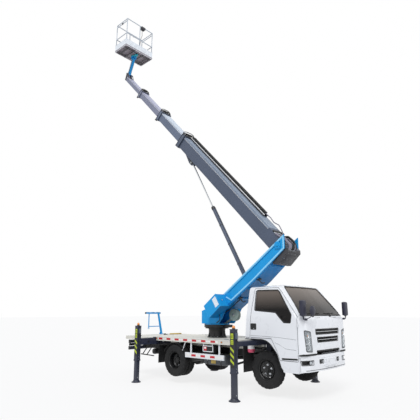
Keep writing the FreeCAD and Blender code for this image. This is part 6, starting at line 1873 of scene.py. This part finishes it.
def make_basket_underside():
    turner = Shape()
    axis = Matrix.Translation(RISER_TOP + Vector((0, 0, 0.0265)))
    turner.lathe(mm(30, 0, 90, 2, 104, 8, 108, 18, 108, 50, 92, 60, 88, 83), axis, 48)
    for _, a, b in around(8, 0.096):
        turner.use(1).bolt(axis @ Vector((a, b, 0.002)), (0, 0, -1), 0.008, 0.007)
    turner.use(0).box((-3.640, -0.060, 11.510), (-3.500, 0.060, 11.572), 0.012, 3)
    turner.rod((-3.505, 0, 11.541), (-3.450, 0, 11.541), 0.026, 24)
    x0, x1 = BASKET_X
    # beams and cross bars under the tray
    for y in (-0.46, -0.20, 0.20, 0.46):
        turner.use(2).box((x0 + 0.01, y - 0.018, TRAY_LOW - 0.014),
                          (x1 - 0.01, y + 0.018, TRAY_LOW + 0.002), 0.004)
    for x in (x0 + 0.13, x1 - 0.13):
        turner.block((x, 0, TRAY_LOW - 0.0035), (0.018, 0.62, 0.0055), 0.004)
    for a, b in (((x0 - 0.001, -BASKET_Y - 0.003), (x1 + 0.001, -BASKET_Y + 0.006)),
                 ((x0 - 0.001, BASKET_Y - 0.006), (x1 + 0.001, BASKET_Y + 0.003)),
                 ((x0 - 0.003, -BASKET_Y), (x0 + 0.006, BASKET_Y)),
                 ((x1 - 0.006, -BASKET_Y), (x1 + 0.003, BASKET_Y))):
        turner.use(3).box((*a, TRAY_LOW - 0.002), (*b, TRAY_LOW + 0.012))
        turner.box((*a, 11.858), (*b, 11.874))
    turner.piece("basket_underside", "basket", "teal galvanised charcoal pale", "basket_grey")


def make_basket_fittings():
    inside = Shape()
    x0, x1 = BASKET_X
    # the tread on the floor, and sockets round the posts
    for k in range(15):
        y = -0.58 + 0.083 * k
        inside.box((x0 + 0.03, y - 0.012, TRAY_TOP - 0.001), (x1 - 0.03, y + 0.012,
                                                             TRAY_TOP + 0.004), 0.0015, 1)
    for x, out in ((OUTER_POST_X, -1), (INNER_POST_X, 1)):
        for y in (-0.611, 0.0, 0.611):
            inside.use(1).lathe(mm(16.5, 0, 24, 2, 24, 45, 16.5, 50),
                                Matrix.Translation((x, y, 11.868)), 20, closed=True)
            inside.use(2).bolt((x, y, 11.895), (out, 0, 0), 0.006, 0.024)
    # kick panels: pressed ribs along the long sides
    for y in (-0.42, -0.21, 0.21, 0.42):
        for x, sign in ((x0, -1), (x1, 1)):
            inside.use(3).box((x, y - 0.055, 11.690), (x + sign * 0.005, y + 0.055, 11.820), 0.002)
    # the operator's box on the rail, with levers, switches and its cable
    x = -3.352
    inside.use(4).box((x - 0.12, 0.065, 12.700), (x + 0.020, 0.245, 12.800), 0.010, 3)
    inside.use(5).box((x - 0.115, 0.070, 12.798), (x + 0.010, 0.240, 12.806))
    for k in range(4):
        foot = Vector((x - 0.07, 0.085 + 0.048 * k, 12.804))
        inside.rod(foot, foot + Vector((0.004, 0, 0.034)), 0.004, 8)
        inside.lathe(mm(7, 0, 10, 8, 7, 16, 0, 18),
                     Matrix.Translation(foot + Vector((0.004, 0, 0.030))), 14)
    inside.use(6).lathe(mm(14, 0, 14, 8, 0, 10), Matrix.Translation((x - 0.100, 0.100, 12.805)),
                        20)
    inside.use(5).pipe([Vector((x, 0, 0)) + step for step in route(
        -80, 150, 12705, -60, 150, 12450, -25, 60, 12200, -12, 30, 11900, -20, 30, 11660)],
                       0.008, 0.08, 8)
    # harness rings on the posts and a latch on the gate's rail
    for x, y in ((OUTER_POST_X, -0.30), (OUTER_POST_X, 0.30), (INNER_POST_X, -0.30)):
        inside.use(2).lathe(rectangle(20, 26, -3, 3), aim((x, y, 12.116), (0, 1, 0)), 24,
                            closed=True)
    inside.use(5).box((-3.70, -0.628, 12.660), (-3.62, -0.600, 12.720), 0.005)
    inside.piece("basket_fittings", "basket", "galvanised grey steel pale charcoal plastic red",
                 "basket_grey")


def make_rest():
    rest = Shape()
    x = -2.020
    for y in (-0.290, 0.290):
        rest.use(1).block((x, y, 1.721), (0.026, 0.004, 0.026))
    for y in (-0.20, 0.0, 0.20):
        rest.block((x, y, 1.746), (0.026, 0.045, 0.003), 0.002)
    for dx in (-0.038, 0.038):
        for y in (0.338, 0.412):
            rest.use(2).bolt((x + dx, y, 1.091), size=0.009, height=0.008)
    rest.use(0).lathe(rectangle(16, 26, -6, 6), aim((x, -0.150, 1.272), (1, 0, 0)), 24,
                      closed=True)
    for y in (0.300, 0.330):
        rest.prism([(y, 1.091), (y + 0.08, 1.091), (y + 0.05, 1.180)], (x - 0.027, x - 0.0235),
                   "X")
    rest.piece("boom_rest_trim", "chassis", "blue plastic galvanised", "arm_blue")


def main():
    make_materials()
    make_camera()
    make_light()
    make_floor()
    dress_nodes()
    for make in (make_wheels, make_deck, make_guard_fittings, make_tanks_and_battery,
                 make_hanging_gear, make_tail_lamps, make_lines_and_guards,
                 make_outriggers, make_doors, make_cab_front, make_cab_ends,
                 make_bumper, make_mirrors, make_cab_fittings, make_cab_inside,
                 make_slewing, make_arm, make_control_box, make_boom,
                 make_cylinder, make_riser, make_basket_underside,
                 make_basket_fittings, make_rest):
        make()


main()
